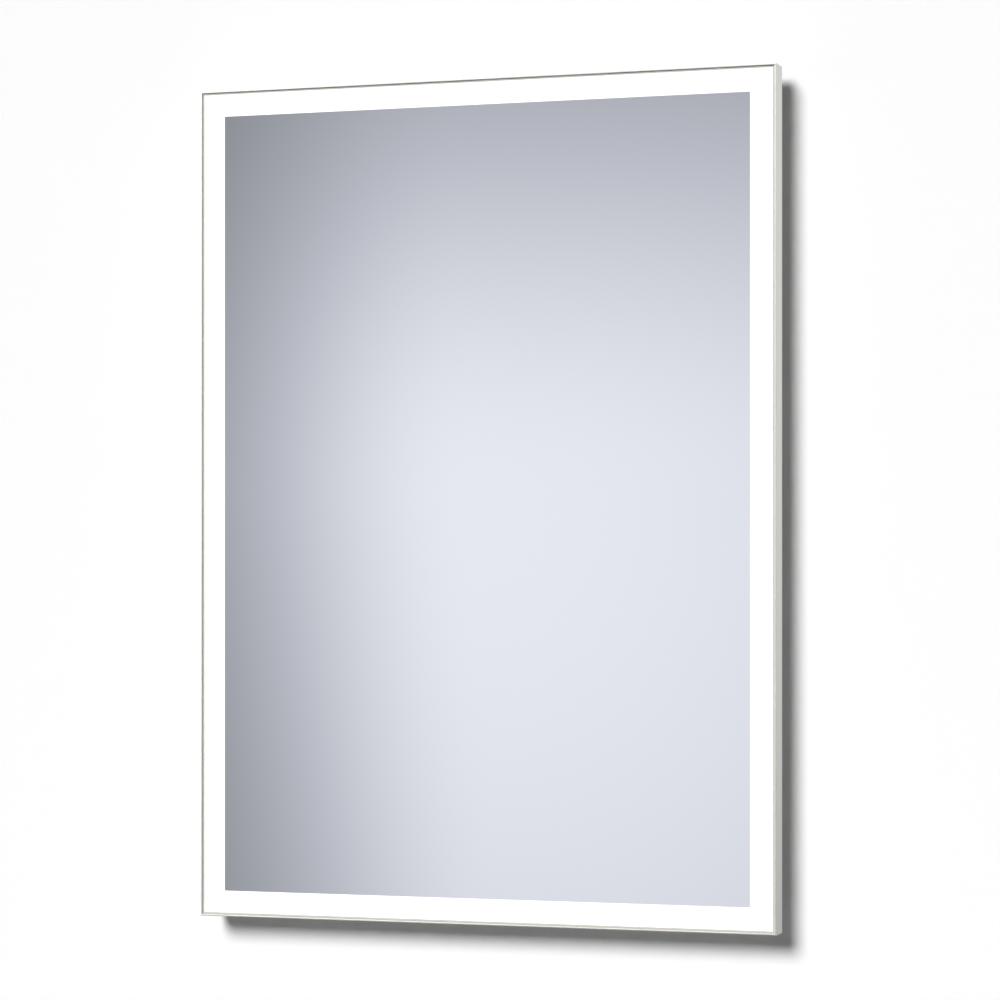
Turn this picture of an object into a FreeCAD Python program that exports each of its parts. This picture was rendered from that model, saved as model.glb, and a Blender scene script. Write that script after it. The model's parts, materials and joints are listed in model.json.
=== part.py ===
import FreeCAD, Part
import math
import os
import re

import Sketcher

# Lighted wall mirror: an edge-lit sheet of silvered glass in a slim aluminium frame, hung on a rail.
# Millimetres. X is across, Y runs from the front (negative) to the wall at 0, Z is up.
# The origin is on the wall, at the middle of the two screw slots of the wall rail.

# ---------------------------------------------------------------- driving sizes

SIZES = {
    # the mirror as a whole
    "mirror_width": 500.0,
    "mirror_height": 700.0,
    "rail_below_top": 120.0,
    "stand_off": 19.0,
    # frame extrusion
    "frame_depth": 21.0,
    "frame_wall": 1.4,
    "frame_rib": 1.0,
    "flange_thick": 1.2,
    "flange_reach": 15.4,
    "ledge_reach": 4.5,
    "channel_lip": 2.0,
    "edge_break": 0.3,
    "cutter_over": 1.0,
    # glass and what is stuck to it
    "glass_recess": 1.0,
    "glass_thick": 4.0,
    "glass_arris": 0.4,
    "gasket_wide": 1.5,
    "gasket_recess": 0.3,
    "band_wide": 19.3,
    "diffuser_thick": 2.0,
    "diffuser_gap": 0.2,
    "film_thick": 0.3,
    "demister_wide": 300.0,
    "demister_tall": 400.0,
    "demister_thick": 0.4,
    # corner keys
    "key_thick": 2.0,
    "key_gap": 0.1,
    "key_leg": 55.0,
    "key_screw_from_corner": 38.0,
    "key_screw_radius": 1.9,
    # light strips and reflectors
    "led_board_wide": 8.0,
    "led_board_thick": 1.0,
    "led_end_gap": 12.0,
    "led_pitch": 16.67,
    "led_long": 3.5,
    "led_wide": 2.8,
    "led_high": 0.8,
    "link_radius": 0.5,
    "link_bend": 6.0,
    "reflector_thick": 0.5,
    "reflector_from_board": 2.0,
    "reflector_clear": 1.8,
    "reflector_flange": 8.0,
    # back panel and its screws
    "panel_inset": 2.0,
    "panel_thick": 1.0,
    "screw_from_corner": 95.0,
    "screw_pitch_most": 180.0,
    "screw_radius": 1.5,
    "screw_hole_gap": 0.2,
    "screw_long": 4.0,
    "screw_head_radius": 3.2,
    "screw_head_high": 2.0,
    "recess_long": 3.6,
    "recess_wide": 0.8,
    "recess_deep": 1.2,
    # wall rail
    "rail_long": 380.0,
    "rail_thick": 1.5,
    "rail_low": 16.0,
    "rail_step": 16.0,
    "rail_reach": 8.0,
    "rail_lip": 12.0,
    "rail_slot_radius": 2.75,
    "rail_slot_long": 12.0,
    "rail_slot_spacing": 300.0,
    # hooks on the back panel
    "hook_spacing": 220.0,
    "hook_wide": 60.0,
    "hook_thick": 1.5,
    "hook_gap": 1.0,
    "hook_drop": 10.0,
    "hook_plate": 32.0,
    "rivet_spacing": 36.0,
    "rivet_up": 18.0,
    "rivet_radius": 2.0,
    "rivet_head_radius": 3.6,
    "rivet_head_high": 1.2,
    # bumpers at the lower corners
    "spacer_inset": 60.0,
    "spacer_radius": 9.0,
    "spacer_tip_radius": 7.0,
    # box over the electrical parts
    "box_wide": 230.0,
    "box_tall": 96.0,
    "box_below_rail": 250.0,
    "box_to_wall": 2.5,
    "box_sheet": 1.0,
    "box_corner": 2.0,
    "box_flange": 12.0,
    "box_screw_inset": 14.0,
    # power supply
    "driver_long": 150.0,
    "driver_wide": 38.0,
    "driver_high": 13.0,
    "driver_wall": 1.5,
    "driver_from_top": 8.0,
    "post_radius": 2.0,
    "post_high": 1.5,
    "post_inset": 4.0,
    "board_gap": 0.5,
    "board_thick": 1.6,
    "transformer_long": 22.0,
    "transformer_wide": 18.0,
    "transformer_high": 6.0,
    # mains terminals
    "terminal_wide": 18.0,
    "terminal_high": 12.0,
    "supply_gap": 12.0,
    "terminal_from_bottom": 23.0,
    "pole_pitch": 12.0,
    "pole_well_radius": 2.3,
    "pole_well_deep": 5.0,
    "pole_screw_gap": 0.2,
    "pole_screw_high": 3.0,
    "pole_slot_wide": 0.8,
    "entry_gap": 0.3,
    "entry_deep": 6.0,
    "entry_up": 5.0,
    # cable gland
    "cable_bore_radius": 3.5,
    "gland_flats": 14.0,
    "gland_collar": 4.0,
    "gland_thread_radius": 6.0,
    "gland_thread_long": 8.0,
    "gland_neck_radius": 5.6,
    "gland_neck_long": 7.0,
    "gland_bore_gap": 0.4,
    "gland_nut_high": 3.0,
    "seal_wall": 1.4,
    "seal_long": 8.0,
    "cap_radius": 7.0,
    "cap_fit_gap": 0.1,
    "cap_start": 1.0,
    "cap_end_wall": 3.0,
    # earth connection
    "stud_up": 27.0,
    "stud_radius": 2.0,
    "stud_long": 9.0,
    "stud_nut_flats": 7.0,
    "stud_nut_high": 3.2,
    "tag_radius": 5.5,
    "tag_thick": 0.8,
    "tag_crimp": 0.1,
    # leads and their fixings
    "grommet_from_end": 9.0,
    "grommet_from_bottom": 18.0,
    "grommet_hole": 6.0,
    "grommet_lip": 2.0,
    "grommet_bore": 4.0,
    "grommet_lip_thick": 1.5,
    "lead_radius": 0.9,
    "lead_pitch": 2.4,
    "lead_up": 6.5,
    "lead_bend": 3.0,
    "lead_hole_gap": 0.6,
    "feed_inset": 17.0,
    "feed_pad_inset": 1.2,
    "core_radius": 1.1,
    "core_bend": 5.0,
    "live_up": 3.0,
    "live_entry": 11.0,
    "neutral_up": 6.0,
    "neutral_entry": 4.0,
    "clip_wide": 9.0,
    "clip_tall": 6.0,
    "clip_wall": 1.0,
    # contactless switch under the lower edge
    "sensor_from_middle": 60.0,
    "sensor_from_bottom": 6.0,
    "sensor_wide": 32.0,
    "sensor_tall": 14.0,
    "sensor_high": 13.0,
    "sensor_wall": 1.5,
    "sensor_board_thick": 1.2,
    "sensor_lead_radius": 1.2,
    "lens_radius": 4.0,
    "lens_proud": 0.6,
    "lens_inside": 1.0,
}

# Numbers of repeated fixings
POLES = 3
CLIPS_PER_LEAD = 2

# Limits used while building: the least cut that counts, the most of a run that a bend may take,
# and how far a lead's volume may differ from its section times its length
LEAST_CUT = 1e-6
BEND_SHARE = 0.45
LEAD_TOLERANCE = 0.01

# Places worked out from the sizes, in the same words as the formulas below
PLACES = {
    # depths, from the front to the wall
    "frame_front": "-(stand_off + frame_depth)",
    "frame_back": "-stand_off",
    "glass_front": "frame_front + glass_recess",
    "glass_back": "glass_front + glass_thick",
    "film_back": "glass_back + film_thick",
    "demister_back": "film_back + demister_thick",
    "diffuser_back": "glass_back + diffuser_thick",
    "ledge_back": "diffuser_back + frame_rib",
    "flange_front": "frame_back - flange_thick",
    "channel_front": "flange_front - key_thick - 2 * key_gap",
    "lip_front": "channel_front - frame_rib",
    "led_line": "(ledge_back + lip_front) / 2",
    "foot_front": "lip_front - reflector_thick",
    "panel_back": "frame_back + panel_thick",
    # distances in from the outside of the frame
    "glass_inset": "frame_wall + gasket_wide",
    "band_inset": "glass_inset + band_wide",
    "channel_inset": "frame_wall + (flange_reach - frame_rib - frame_wall) / 2",
    "key_wide": "flange_reach - frame_rib - frame_wall - 2 * key_gap",
    "board_inset": "frame_wall + led_board_thick",
    "reflector_inset": "band_inset + reflector_clear",
    "reflector_end": "reflector_inset + reflector_flange",
    # heights
    "middle_up": "rail_below_top - mirror_height / 2",
    "bottom_up": "rail_below_top - mirror_height",
    # rail and hooks
    "rail_lip_back": "rail_thick - rail_reach",
    "rail_top": "rail_step + rail_lip",
    "hook_front": "rail_lip_back + hook_gap",
    # electrical box, with the power supply and the terminals side by side in its middle
    "box_up": "-box_below_rail",
    "box_back": "-box_to_wall",
    "box_inner_back": "box_back - box_sheet",
    "box_bottom": "box_up - box_tall / 2",
    "terminal_long": "{poles} * pole_pitch".format(poles=POLES),
    "driver_left": "-(driver_long + supply_gap + terminal_long) / 2",
    "driver_right": "driver_left + driver_long",
    "driver_top": "box_up + box_tall / 2 - driver_from_top",
    "driver_bottom": "driver_top - driver_wide",
    "driver_back": "panel_back + driver_high",
    "board_front": "panel_back + driver_wall + post_high",
    "board_back": "board_front + board_thick",
    "terminal_middle": "driver_right + supply_gap + terminal_long / 2",
    "terminal_bottom": "box_bottom + terminal_from_bottom",
    "terminal_top": "terminal_bottom + terminal_wide",
    "terminal_back": "panel_back + terminal_high",
    "entry_line": "panel_back + entry_up",
    "gland_line": "(panel_back + box_inner_back) / 2",
    "gland_bore": "cable_bore_radius + gland_bore_gap",
    "neck_end": "box_bottom - gland_collar - gland_neck_long",
    "cap_top": "box_bottom - gland_collar - cap_start",
    "cap_bottom": "neck_end - cap_end_wall",
    "stud_across": "terminal_middle + (terminal_long - pole_pitch) / 2",
    "stud_height": "terminal_top + stud_up",
    "grommet_across": "driver_left + grommet_from_end",
    "grommet_up": "box_bottom + grommet_from_bottom",
    "feed_line": "frame_back - grommet_lip_thick - lead_radius",
    # contactless switch
    "sensor_across": "-sensor_from_middle",
    "sensor_bottom": "bottom_up + sensor_from_bottom",
    "sensor_top": "sensor_bottom + sensor_tall",
    "sensor_back": "panel_back + sensor_high",
    "lens_line": "panel_back + sensor_high / 2",
}

# ---------------------------------------------------------------- document and sheet

doc = FreeCAD.newDocument("lighted_mirror")
sheet = doc.addObject("Spreadsheet::Sheet", "sizes")
for row, (alias, value) in enumerate(SIZES.items(), start=1):
    sheet.set(f"A{row}", alias)
    sheet.set(f"B{row}", str(value))
    sheet.setAlias(f"B{row}", alias)
doc.recompute()

nodes = []


def size(alias):
    """The number that a cell of the sheet holds."""
    return float(sheet.get(alias))


def formula(words):
    """Turns plain words into an expression on the sheet's cells."""

    def swap(found):
        word = found.group(0)
        if word in PLACES:
            return "(" + formula(PLACES[word]) + ")"
        return "sizes." + word if word in SIZES else word

    return re.sub(r"[a-z][a-z_]*", swap, str(words))


def keep(part, label):
    """Lists a finished piece under its own name."""
    part.Label = label
    nodes.append(part)
    return part


# ---------------------------------------------------------------- sketched pieces


def new_body(label, turn=0, across="0", up="0"):
    """A body whose own XZ centre is placed at (across, up) and turned about the depth axis."""
    body = doc.addObject("PartDesign::Body", label)
    spin = FreeCAD.Rotation(FreeCAD.Vector(0, 1, 0), turn)
    body.Placement = FreeCAD.Placement(FreeCAD.Vector(), spin)
    body.setExpression("Placement.Base.x", formula(across))
    body.setExpression("Placement.Base.z", formula(up))
    return keep(body, label)


def new_sketch(body, plane, offset="0"):
    """A sketch on one of the body's own planes, moved along that plane's normal."""
    sketch = body.newObject("Sketcher::SketchObject", "sketch")
    base = next(item for item in body.Origin.OriginFeatures if item.Role == plane)
    sketch.AttachmentSupport = [(base, "")]
    sketch.MapMode = "FlatFace"
    sketch.setExpression("AttachmentOffset.Base.z", formula(offset))
    return sketch


def tie(sketch, kind, geometry, point, words):
    """Binds one coordinate of a sketch point to a formula."""
    index = sketch.addConstraint(Sketcher.Constraint(kind, -1, 1, geometry, point, 1.0))
    sketch.setExpression(f"Constraints[{index}]", formula(words))


def draw_outline(sketch, corners):
    """A closed outline of straight lines through corners given as pairs of formulas."""
    first = sketch.GeometryCount
    count = len(corners)
    steps = [2 * math.pi * i / count for i in range(count)]
    ring = [FreeCAD.Vector(math.cos(step), math.sin(step), 0) for step in steps]
    for i in range(count):
        sketch.addGeometry(Part.LineSegment(ring[i], ring[(i + 1) % count]), False)
    for i in range(count):
        after = first + (i + 1) % count
        sketch.addConstraint(Sketcher.Constraint("Coincident", first + i, 2, after, 1))
    for i, (along, up) in enumerate(corners):
        tie(sketch, "DistanceX", first + i, 1, along)
        tie(sketch, "DistanceY", first + i, 1, up)


def draw_rectangle(sketch, left, right, low, high):
    draw_outline(sketch, [(left, low), (right, low), (right, high), (left, high)])


def draw_circle(sketch, along, up, radius):
    """A circle with its centre and radius bound to formulas."""
    circle = Part.Circle(FreeCAD.Vector(), FreeCAD.Vector(0, 0, 1), 1)
    index = sketch.addGeometry(circle, False)
    tie(sketch, "DistanceX", index, 3, along)
    tie(sketch, "DistanceY", index, 3, up)
    bound = sketch.addConstraint(Sketcher.Constraint("Radius", index, 1.0))
    sketch.setExpression(f"Constraints[{bound}]", formula(radius))


def pad(body, sketch, length, both_ways=False):
    feature = body.newObject("PartDesign::Pad", "pad")
    feature.Profile = sketch
    feature.SideType = "Symmetric" if both_ways else "One side"
    feature.setExpression("Length", formula(length))
    doc.recompute()
    return feature


def pocket(body, sketch, depth=None):
    """Cuts to a depth against the sketch's normal, or with no depth through all both ways."""
    before = body.Shape.Volume
    feature = body.newObject("PartDesign::Pocket", "pocket")
    feature.Profile = sketch
    if depth is None:
        feature.Type = "ThroughAll"
        feature.SideType = "Symmetric"
    else:
        feature.setExpression("Length", formula(depth))
    doc.recompute()
    if not body.Shape.Volume < before - LEAST_CUT:
        raise RuntimeError(f"a pocket of {body.Label} cuts nothing")
    return feature


def plate(body, front, back, draw):
    """Pads what draw puts in a sketch, from one depth to another."""
    sketch = new_sketch(body, "XZ_Plane", f"-({back})")
    draw(sketch)
    return pad(body, sketch, f"({back}) - ({front})")


def holes(body, places, radius):
    """Round holes right through, along the depth axis."""
    sketch = new_sketch(body, "XZ_Plane")
    for along, up in places:
        draw_circle(sketch, along, up, radius)
    pocket(body, sketch)


def slots(body, places, radius, length):
    """Round-ended slots right through: a hole at each end, then the straight part between."""
    half = f"(({length}) / 2 - {radius})"
    ends = [(f"{along} {sign} {half}", up) for along, up in places for sign in "-+"]
    holes(body, ends, radius)
    sketch = new_sketch(body, "XZ_Plane")
    for along, up in places:
        left, right = f"{along} - {half}", f"{along} + {half}"
        draw_rectangle(sketch, left, right, f"{up} - {radius}", f"{up} + {radius}")
    pocket(body, sketch)


def well(body, front, back, draw):
    """Pockets what draw puts in a sketch, from one depth towards the wall."""
    sketch = new_sketch(body, "XZ_Plane", f"-({front})")
    draw(sketch)
    pocket(body, sketch, f"({back}) - ({front})")


# ---------------------------------------------------------------- pieces from plain solids


def block(across, depth, up):
    """A box between pairs of formulas, one pair for each axis."""
    box = doc.addObject("Part::Box", "block")
    for axis, side, (low, high) in (
        ("x", "Length", across),
        ("y", "Width", depth),
        ("z", "Height", up),
    ):
        box.setExpression("Placement.Base." + axis, formula(low))
        box.setExpression(side, formula(f"({high}) - ({low})"))
    return box


def place_solid(solid, axis, at):
    """Turns a solid made along Z onto another axis, then ties its foot to three formulas."""
    turn = {"x": ((0, 1, 0), 90), "y": ((1, 0, 0), -90), "z": ((0, 0, 1), 0)}[axis]
    spin = FreeCAD.Rotation(FreeCAD.Vector(*turn[0]), turn[1])
    solid.Placement = FreeCAD.Placement(FreeCAD.Vector(), spin)
    for letter, words in zip("xyz", at):
        solid.setExpression("Placement.Base." + letter, formula(words))
    return solid


def rod(axis, at, radius, length):
    cylinder = doc.addObject("Part::Cylinder", "rod")
    cylinder.setExpression("Radius", formula(radius))
    cylinder.setExpression("Height", formula(length))
    return place_solid(cylinder, axis, at)


def hexagon(axis, at, flats, length):
    """A hexagonal bar, given by the distance across its flats."""
    prism = doc.addObject("Part::Prism", "hexagon")
    prism.Polygon = 6
    prism.setExpression("Circumradius", formula(f"({flats}) / sqrt(3)"))
    prism.setExpression("Height", formula(length))
    return place_solid(prism, axis, at)


def cut(base, *tools):
    """Cuts each tool from the base in turn."""
    for tool in tools:
        feature = doc.addObject("Part::Cut", "cut")
        feature.Base = base
        feature.Tool = tool
        base = feature
    return base


def fuse(*solids):
    feature = doc.addObject("Part::MultiFuse", "fuse")
    feature.Shapes = list(solids)
    return feature


def group(label, solids):
    """Several like solids kept as one piece."""
    feature = doc.addObject("Part::Compound", label)
    feature.Links = solids
    return keep(feature, label)


def pan_screw(across, seat, up):
    """A cross-recess pan-head screw, driven from the wall side, with its head on the seat."""
    head = rod("y", (across, seat, up), "screw_head_radius", "screw_head_high")
    shank = rod("y", (across, f"{seat} - screw_long", up), "screw_radius", "screw_long")
    floor = f"{seat} + screw_head_high - recess_deep"
    deep = (floor, f"{seat} + screw_head_high")
    lying = block(
        (f"{across} - recess_long / 2", f"{across} + recess_long / 2"),
        deep,
        (f"{up} - recess_wide / 2", f"{up} + recess_wide / 2"),
    )
    standing = block(
        (f"{across} - recess_wide / 2", f"{across} + recess_wide / 2"),
        deep,
        (f"{up} - recess_long / 2", f"{up} + recess_long / 2"),
    )
    return cut(fuse(head, shank), fuse(lying, standing))


# ---------------------------------------------------------------- leads


def lead_shape(points, radius, bend):
    """A round lead of straight runs joined by tangent arcs, as large as asked or as fits."""
    points = [FreeCAD.Vector(*point) for point in points]
    edges = []
    start = points[0]
    for before, corner, after in zip(points, points[1:], points[2:]):
        come = (corner - before).normalize()
        go = (after - corner).normalize()
        turn = come.getAngle(go)
        room = BEND_SHARE * min(corner.distanceToPoint(before), after.distanceToPoint(corner))
        reach = min(bend * math.tan(turn / 2), room)
        rounding = reach / math.tan(turn / 2)
        inward = (go - come).normalize()
        middle = corner + inward * (rounding / math.cos(turn / 2) - rounding)
        edges.append(Part.LineSegment(start, corner - come * reach).toShape())
        arc = Part.Arc(corner - come * reach, middle, corner + go * reach)
        edges.append(arc.toShape())
        start = corner + go * reach
    edges.append(Part.LineSegment(start, points[-1]).toShape())
    path = Part.Wire(edges)
    aim = points[1] - points[0]
    ring = Part.Wire([Part.makeCircle(radius, points[0], aim)])
    tube = path.makePipeShell([ring], True, False)
    meant = math.pi * radius**2 * path.Length
    if abs(tube.Volume / meant - 1) > LEAD_TOLERANCE:
        raise RuntimeError("a lead's volume differs from its section times its length")
    return tube


def lead(label, shapes):
    """Keeps one lead, or several like ones, as one piece."""
    feature = doc.addObject("Part::Feature", label)
    feature.Shape = shapes[0] if len(shapes) == 1 else Part.makeCompound(shapes)
    feature.Placement = FreeCAD.Placement()
    return keep(feature, label)


def box_of(label):
    """The bounding box of a finished piece."""
    return next(part for part in nodes if part.Label == label).Shape.BoundBox


# ---------------------------------------------------------------- the four sides

# Each side is built as if it were the top one, then turned about the depth axis. In a side's own
# frame X runs along it and Z points outwards from the middle of the mirror.


class Side:
    """One side of the mirror: its turn, its length and how far out it lies."""

    def __init__(self, name, turn, along, out):
        self.name = name
        self.turn = turn
        self.long = along
        self.out = out + " / 2"
        self.lies_across = turn % 180 == 0

    def body(self, word):
        return new_body(f"{word}_{self.name}", self.turn, up="middle_up")

    def screw_places(self):
        """How far along the side each panel screw is, no further apart than the most allowed."""
        row = size(self.long) - 2 * size("screw_from_corner")
        gaps = max(1, math.ceil(row / size("screw_pitch_most")))
        pitch = f"(({self.long}) - 2 * screw_from_corner) / {gaps}"
        first = f"screw_from_corner - ({self.long}) / 2"
        return [f"{first} + {i} * {pitch}" for i in range(gaps + 1)]

    def turned(self, along, outward):
        """A point of this side's own frame, from the middle of the mirror."""
        return {
            0: (along, outward),
            90: (outward, f"-({along})"),
            180: (f"-({along})", f"-({outward})"),
            270: (f"-({outward})", along),
        }[self.turn]


SIDES = [
    Side("top", 0, "mirror_width", "mirror_height"),
    Side("right", 90, "mirror_height", "mirror_width"),
    Side("bottom", 180, "mirror_width", "mirror_height"),
    Side("left", 270, "mirror_height", "mirror_width"),
]
CORNERS = [(1, 1), (1, -1), (-1, -1), (-1, 1)]


def mitre(body, side, reach):
    """Cuts both ends of a side at 45 degrees, in from its outer corners."""
    sketch = new_sketch(body, "XZ_Plane")
    inner = f"{side.out} - ({reach}) - cutter_over"
    for sign in ("", "-"):
        end = f"{sign}(({side.long}) / 2)"
        back = f"{sign}(({side.long}) / 2 - ({reach}) - cutter_over)"
        draw_outline(sketch, [(end, side.out), (end, inner), (back, inner)])
    pocket(body, sketch)


# Section of the extrusion as (depth, distance in from the outside): outer wall, ledge for the
# diffuser and glass, and a C-shaped channel for the corner keys in front of the rear flange.
EXTRUSION = [
    ("frame_front + edge_break", "0"),
    ("frame_back - edge_break", "0"),
    ("frame_back", "edge_break"),
    ("frame_back", "flange_reach"),
    ("lip_front", "flange_reach"),
    ("lip_front", "flange_reach - frame_rib - channel_lip"),
    ("channel_front", "flange_reach - frame_rib - channel_lip"),
    ("channel_front", "flange_reach - frame_rib"),
    ("flange_front", "flange_reach - frame_rib"),
    ("flange_front", "frame_wall"),
    ("channel_front", "frame_wall"),
    ("channel_front", "frame_wall + channel_lip"),
    ("lip_front", "frame_wall + channel_lip"),
    ("lip_front", "frame_wall"),
    ("ledge_back", "frame_wall"),
    ("ledge_back", "ledge_reach"),
    ("diffuser_back", "ledge_reach"),
    ("diffuser_back", "frame_wall"),
    ("frame_front", "frame_wall"),
    ("frame_front", "edge_break"),
]


def frame_member(side):
    """One mitred length of extrusion, drilled through its flange for panel and key screws."""
    body = side.body("frame")
    sketch = new_sketch(body, "YZ_Plane")
    draw_outline(sketch, [(depth, f"{side.out} - ({inset})") for depth, inset in EXTRUSION])
    pad(body, sketch, side.long, both_ways=True)
    mitre(body, side, "flange_reach")
    line = f"{side.out} - channel_inset"
    holes(body, [(place, line) for place in side.screw_places()], "screw_radius")
    key_screw = f"({side.long}) / 2 - key_screw_from_corner"
    holes(body, [(key_screw, line), (f"-({key_screw})", line)], "key_screw_radius")


def gasket(side):
    """Silicone strip that fills the gap between the frame wall and the edge of the glass."""
    body = side.body("gasket")
    stop = "frame_wall" if side.lies_across else "glass_inset"
    half = f"({side.long}) / 2 - ({stop})"

    def draw(sketch):
        low, high = f"{side.out} - (glass_inset)", f"{side.out} - frame_wall"
        draw_rectangle(sketch, f"-({half})", half, low, high)

    plate(body, "glass_front + gasket_recess", "glass_back", draw)


def diffuser(side):
    """Opal acrylic strip behind the frosted band, resting on the frame's ledge."""
    body = side.body("diffuser")
    stop = "frame_wall + diffuser_gap" if side.lies_across else "band_inset"
    half = f"({side.long}) / 2 - ({stop})"

    def draw(sketch):
        low = f"{side.out} - band_inset + diffuser_gap"
        high = f"{side.out} - frame_wall - diffuser_gap"
        draw_rectangle(sketch, f"-({half})", half, low, high)

    plate(body, "glass_back", "diffuser_back", draw)


def led_board(side):
    """Printed strip stuck to the inner face of the frame wall."""
    body = side.body("led_board")
    half = f"({side.long}) / 2 - led_end_gap"

    def draw(sketch):
        low, high = f"{side.out} - board_inset", f"{side.out} - frame_wall"
        draw_rectangle(sketch, f"-({half})", half, low, high)

    plate(body, "led_line - led_board_wide / 2", "led_line + led_board_wide / 2", draw)


def led_row(side):
    """The light emitters of one strip, at an even pitch about its middle."""
    room = size(side.long) - 2 * size("led_end_gap")
    count = int(room // size("led_pitch"))
    row = []
    for i in range(count):
        along = f"{i - (count - 1) / 2} * led_pitch"
        chip = doc.addObject("Part::Box", "chip")
        chip.setExpression("Length", formula("led_long"))
        chip.setExpression("Width", formula("led_wide"))
        chip.setExpression("Height", formula("led_high"))
        outward = f"{side.out} - board_inset - led_high"
        corner = side.turned(f"{along} - led_long / 2", outward)
        spin = FreeCAD.Rotation(FreeCAD.Vector(0, 1, 0), side.turn)
        chip.Placement = FreeCAD.Placement(FreeCAD.Vector(), spin)
        chip.setExpression("Placement.Base.x", formula(corner[0]))
        chip.setExpression("Placement.Base.y", formula("led_line - led_wide / 2"))
        chip.setExpression("Placement.Base.z", formula(f"middle_up + {corner[1]}"))
        row.append(chip)
    return row


# Section of a reflector as (depth, distance in): a foot on the channel's lips, a slope that sends
# the light forwards, and a flange that is glued to the film on the back of the glass.
FOLDED_SHEET = [
    ("foot_front", "board_inset + reflector_from_board"),
    ("foot_front", "flange_reach"),
    ("film_back", "reflector_inset"),
    ("film_back", "reflector_end"),
    ("film_back + reflector_thick", "reflector_end"),
    ("film_back + reflector_thick", "reflector_inset + reflector_thick"),
    ("lip_front", "flange_reach + reflector_thick"),
    ("lip_front", "board_inset + reflector_from_board"),
]


def reflector(side):
    """Folded white sheet between the channel of the frame and the back of the glass."""
    body = side.body("reflector")
    sketch = new_sketch(body, "YZ_Plane")
    draw_outline(sketch, [(depth, f"{side.out} - ({inset})") for depth, inset in FOLDED_SHEET])
    pad(body, sketch, side.long, both_ways=True)
    mitre(body, side, "reflector_end")
    if side.name == "bottom":
        along = "-(grommet_across - lead_pitch / 2)"
        place = (along, f"{side.out} - feed_inset")
        holes(body, [place], "lead_radius + lead_hole_gap")


for one_side in SIDES:
    frame_member(one_side)
for one_side in SIDES:
    gasket(one_side)
for one_side in SIDES:
    diffuser(one_side)
for one_side in SIDES:
    led_board(one_side)
group("led_chips", [chip for one_side in SIDES for chip in led_row(one_side)])
for one_side in SIDES:
    reflector(one_side)

# ---------------------------------------------------------------- corner keys

CHANNEL_EDGE = "frame_wall + key_gap"


def corner_key(x_sign, z_sign):
    """A flat L that slides into the channels of two frame members and is held by grub screws."""
    body = doc.addObject("PartDesign::Body", "key")
    body.setExpression("Placement.Base.z", formula("middle_up"))
    near = CHANNEL_EDGE
    far = f"{CHANNEL_EDGE} + key_wide"
    tip = f"{CHANNEL_EDGE} + key_leg"
    corners = [(near, near), (tip, near), (tip, far), (far, far), (far, tip), (near, tip)]

    def from_corner(x_inset, z_inset):
        across = f"{x_sign} * (mirror_width / 2 - ({x_inset}))"
        return across, f"{z_sign} * (mirror_height / 2 - ({z_inset}))"

    def draw(sketch):
        draw_outline(sketch, [from_corner(*corner) for corner in corners])

    plate(body, "flange_front - key_thick", "flange_front", draw)
    drilled = [
        from_corner("key_screw_from_corner", "channel_inset"),
        from_corner("channel_inset", "key_screw_from_corner"),
    ]
    holes(body, drilled, "key_screw_radius")
    return body, drilled


keys = [corner_key(*corner) for corner in CORNERS]
group("corner_keys", [body for body, drilled in keys])


def grub_screw(across, up):
    """A socket grub screw through the flange and the key, level with the back of the flange."""
    up = f"middle_up + {up}"
    start = "flange_front - key_thick"
    screw = rod("y", (across, start, up), "key_screw_radius", f"frame_back - ({start})")
    socket_start = "frame_back - recess_deep"
    socket = hexagon("y", (across, socket_start, up), "key_screw_radius", "recess_deep")
    return cut(screw, socket)


group("corner_key_screws", [grub_screw(*place) for body, drilled in keys for place in drilled])

# ---------------------------------------------------------------- glass, film and heating pad


def centred(sketch, half_wide, half_tall):
    draw_rectangle(sketch, f"-({half_wide})", half_wide, f"-({half_tall})", half_tall)


def mirror_glass():
    """Float glass, silvered inside the frosted band, with a small arris round its front."""
    body = new_body("mirror_glass", up="middle_up")
    wide, tall = "mirror_width / 2 - (glass_inset)", "mirror_height / 2 - (glass_inset)"
    sheet_of_glass = plate(
        body, "glass_front", "glass_back", lambda sketch: centred(sketch, wide, tall)
    )
    front = sheet_of_glass.Shape.BoundBox.YMin
    names = []
    for number, edge in enumerate(sheet_of_glass.Shape.Edges, start=1):
        if edge.BoundBox.YMax < front + size("glass_arris"):
            names.append(f"Edge{number}")
    arris = body.newObject("PartDesign::Chamfer", "arris")
    arris.Base = (sheet_of_glass, names)
    arris.setExpression("Size", formula("glass_arris"))
    doc.recompute()


def safety_film():
    """Film over the silvering, which holds the pieces together if the glass breaks."""
    body = new_body("safety_film", up="middle_up")
    wide, tall = "mirror_width / 2 - band_inset", "mirror_height / 2 - band_inset"
    plate(body, "glass_back", "film_back", lambda sketch: centred(sketch, wide, tall))


def demister_pad():
    """Heating film stuck to the middle of the back of the glass."""
    body = new_body("demister_pad", up="middle_up")
    wide, tall = "demister_wide / 2", "demister_tall / 2"
    plate(body, "film_back", "demister_back", lambda sketch: centred(sketch, wide, tall))


mirror_glass()
safety_film()
demister_pad()

# ---------------------------------------------------------------- back panel

HOOKS = (("left", "-"), ("right", ""))


def hook_rivets(sign):
    """The two rivet places of one hook, across and above the wall screws."""
    middle = f"{sign}(hook_spacing / 2)"
    up = "rail_top + rivet_up"
    return [(f"{middle} - rivet_spacing / 2", up), (f"{middle} + rivet_spacing / 2", up)]


def box_screws():
    """The four places where the electrical box is screwed down."""
    across = "(box_wide + box_flange) / 2"
    up = "(box_tall / 2 - box_screw_inset)"
    return [(f"{sx} * {across}", f"box_up + {sz} * {up}") for sx, sz in CORNERS]


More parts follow.
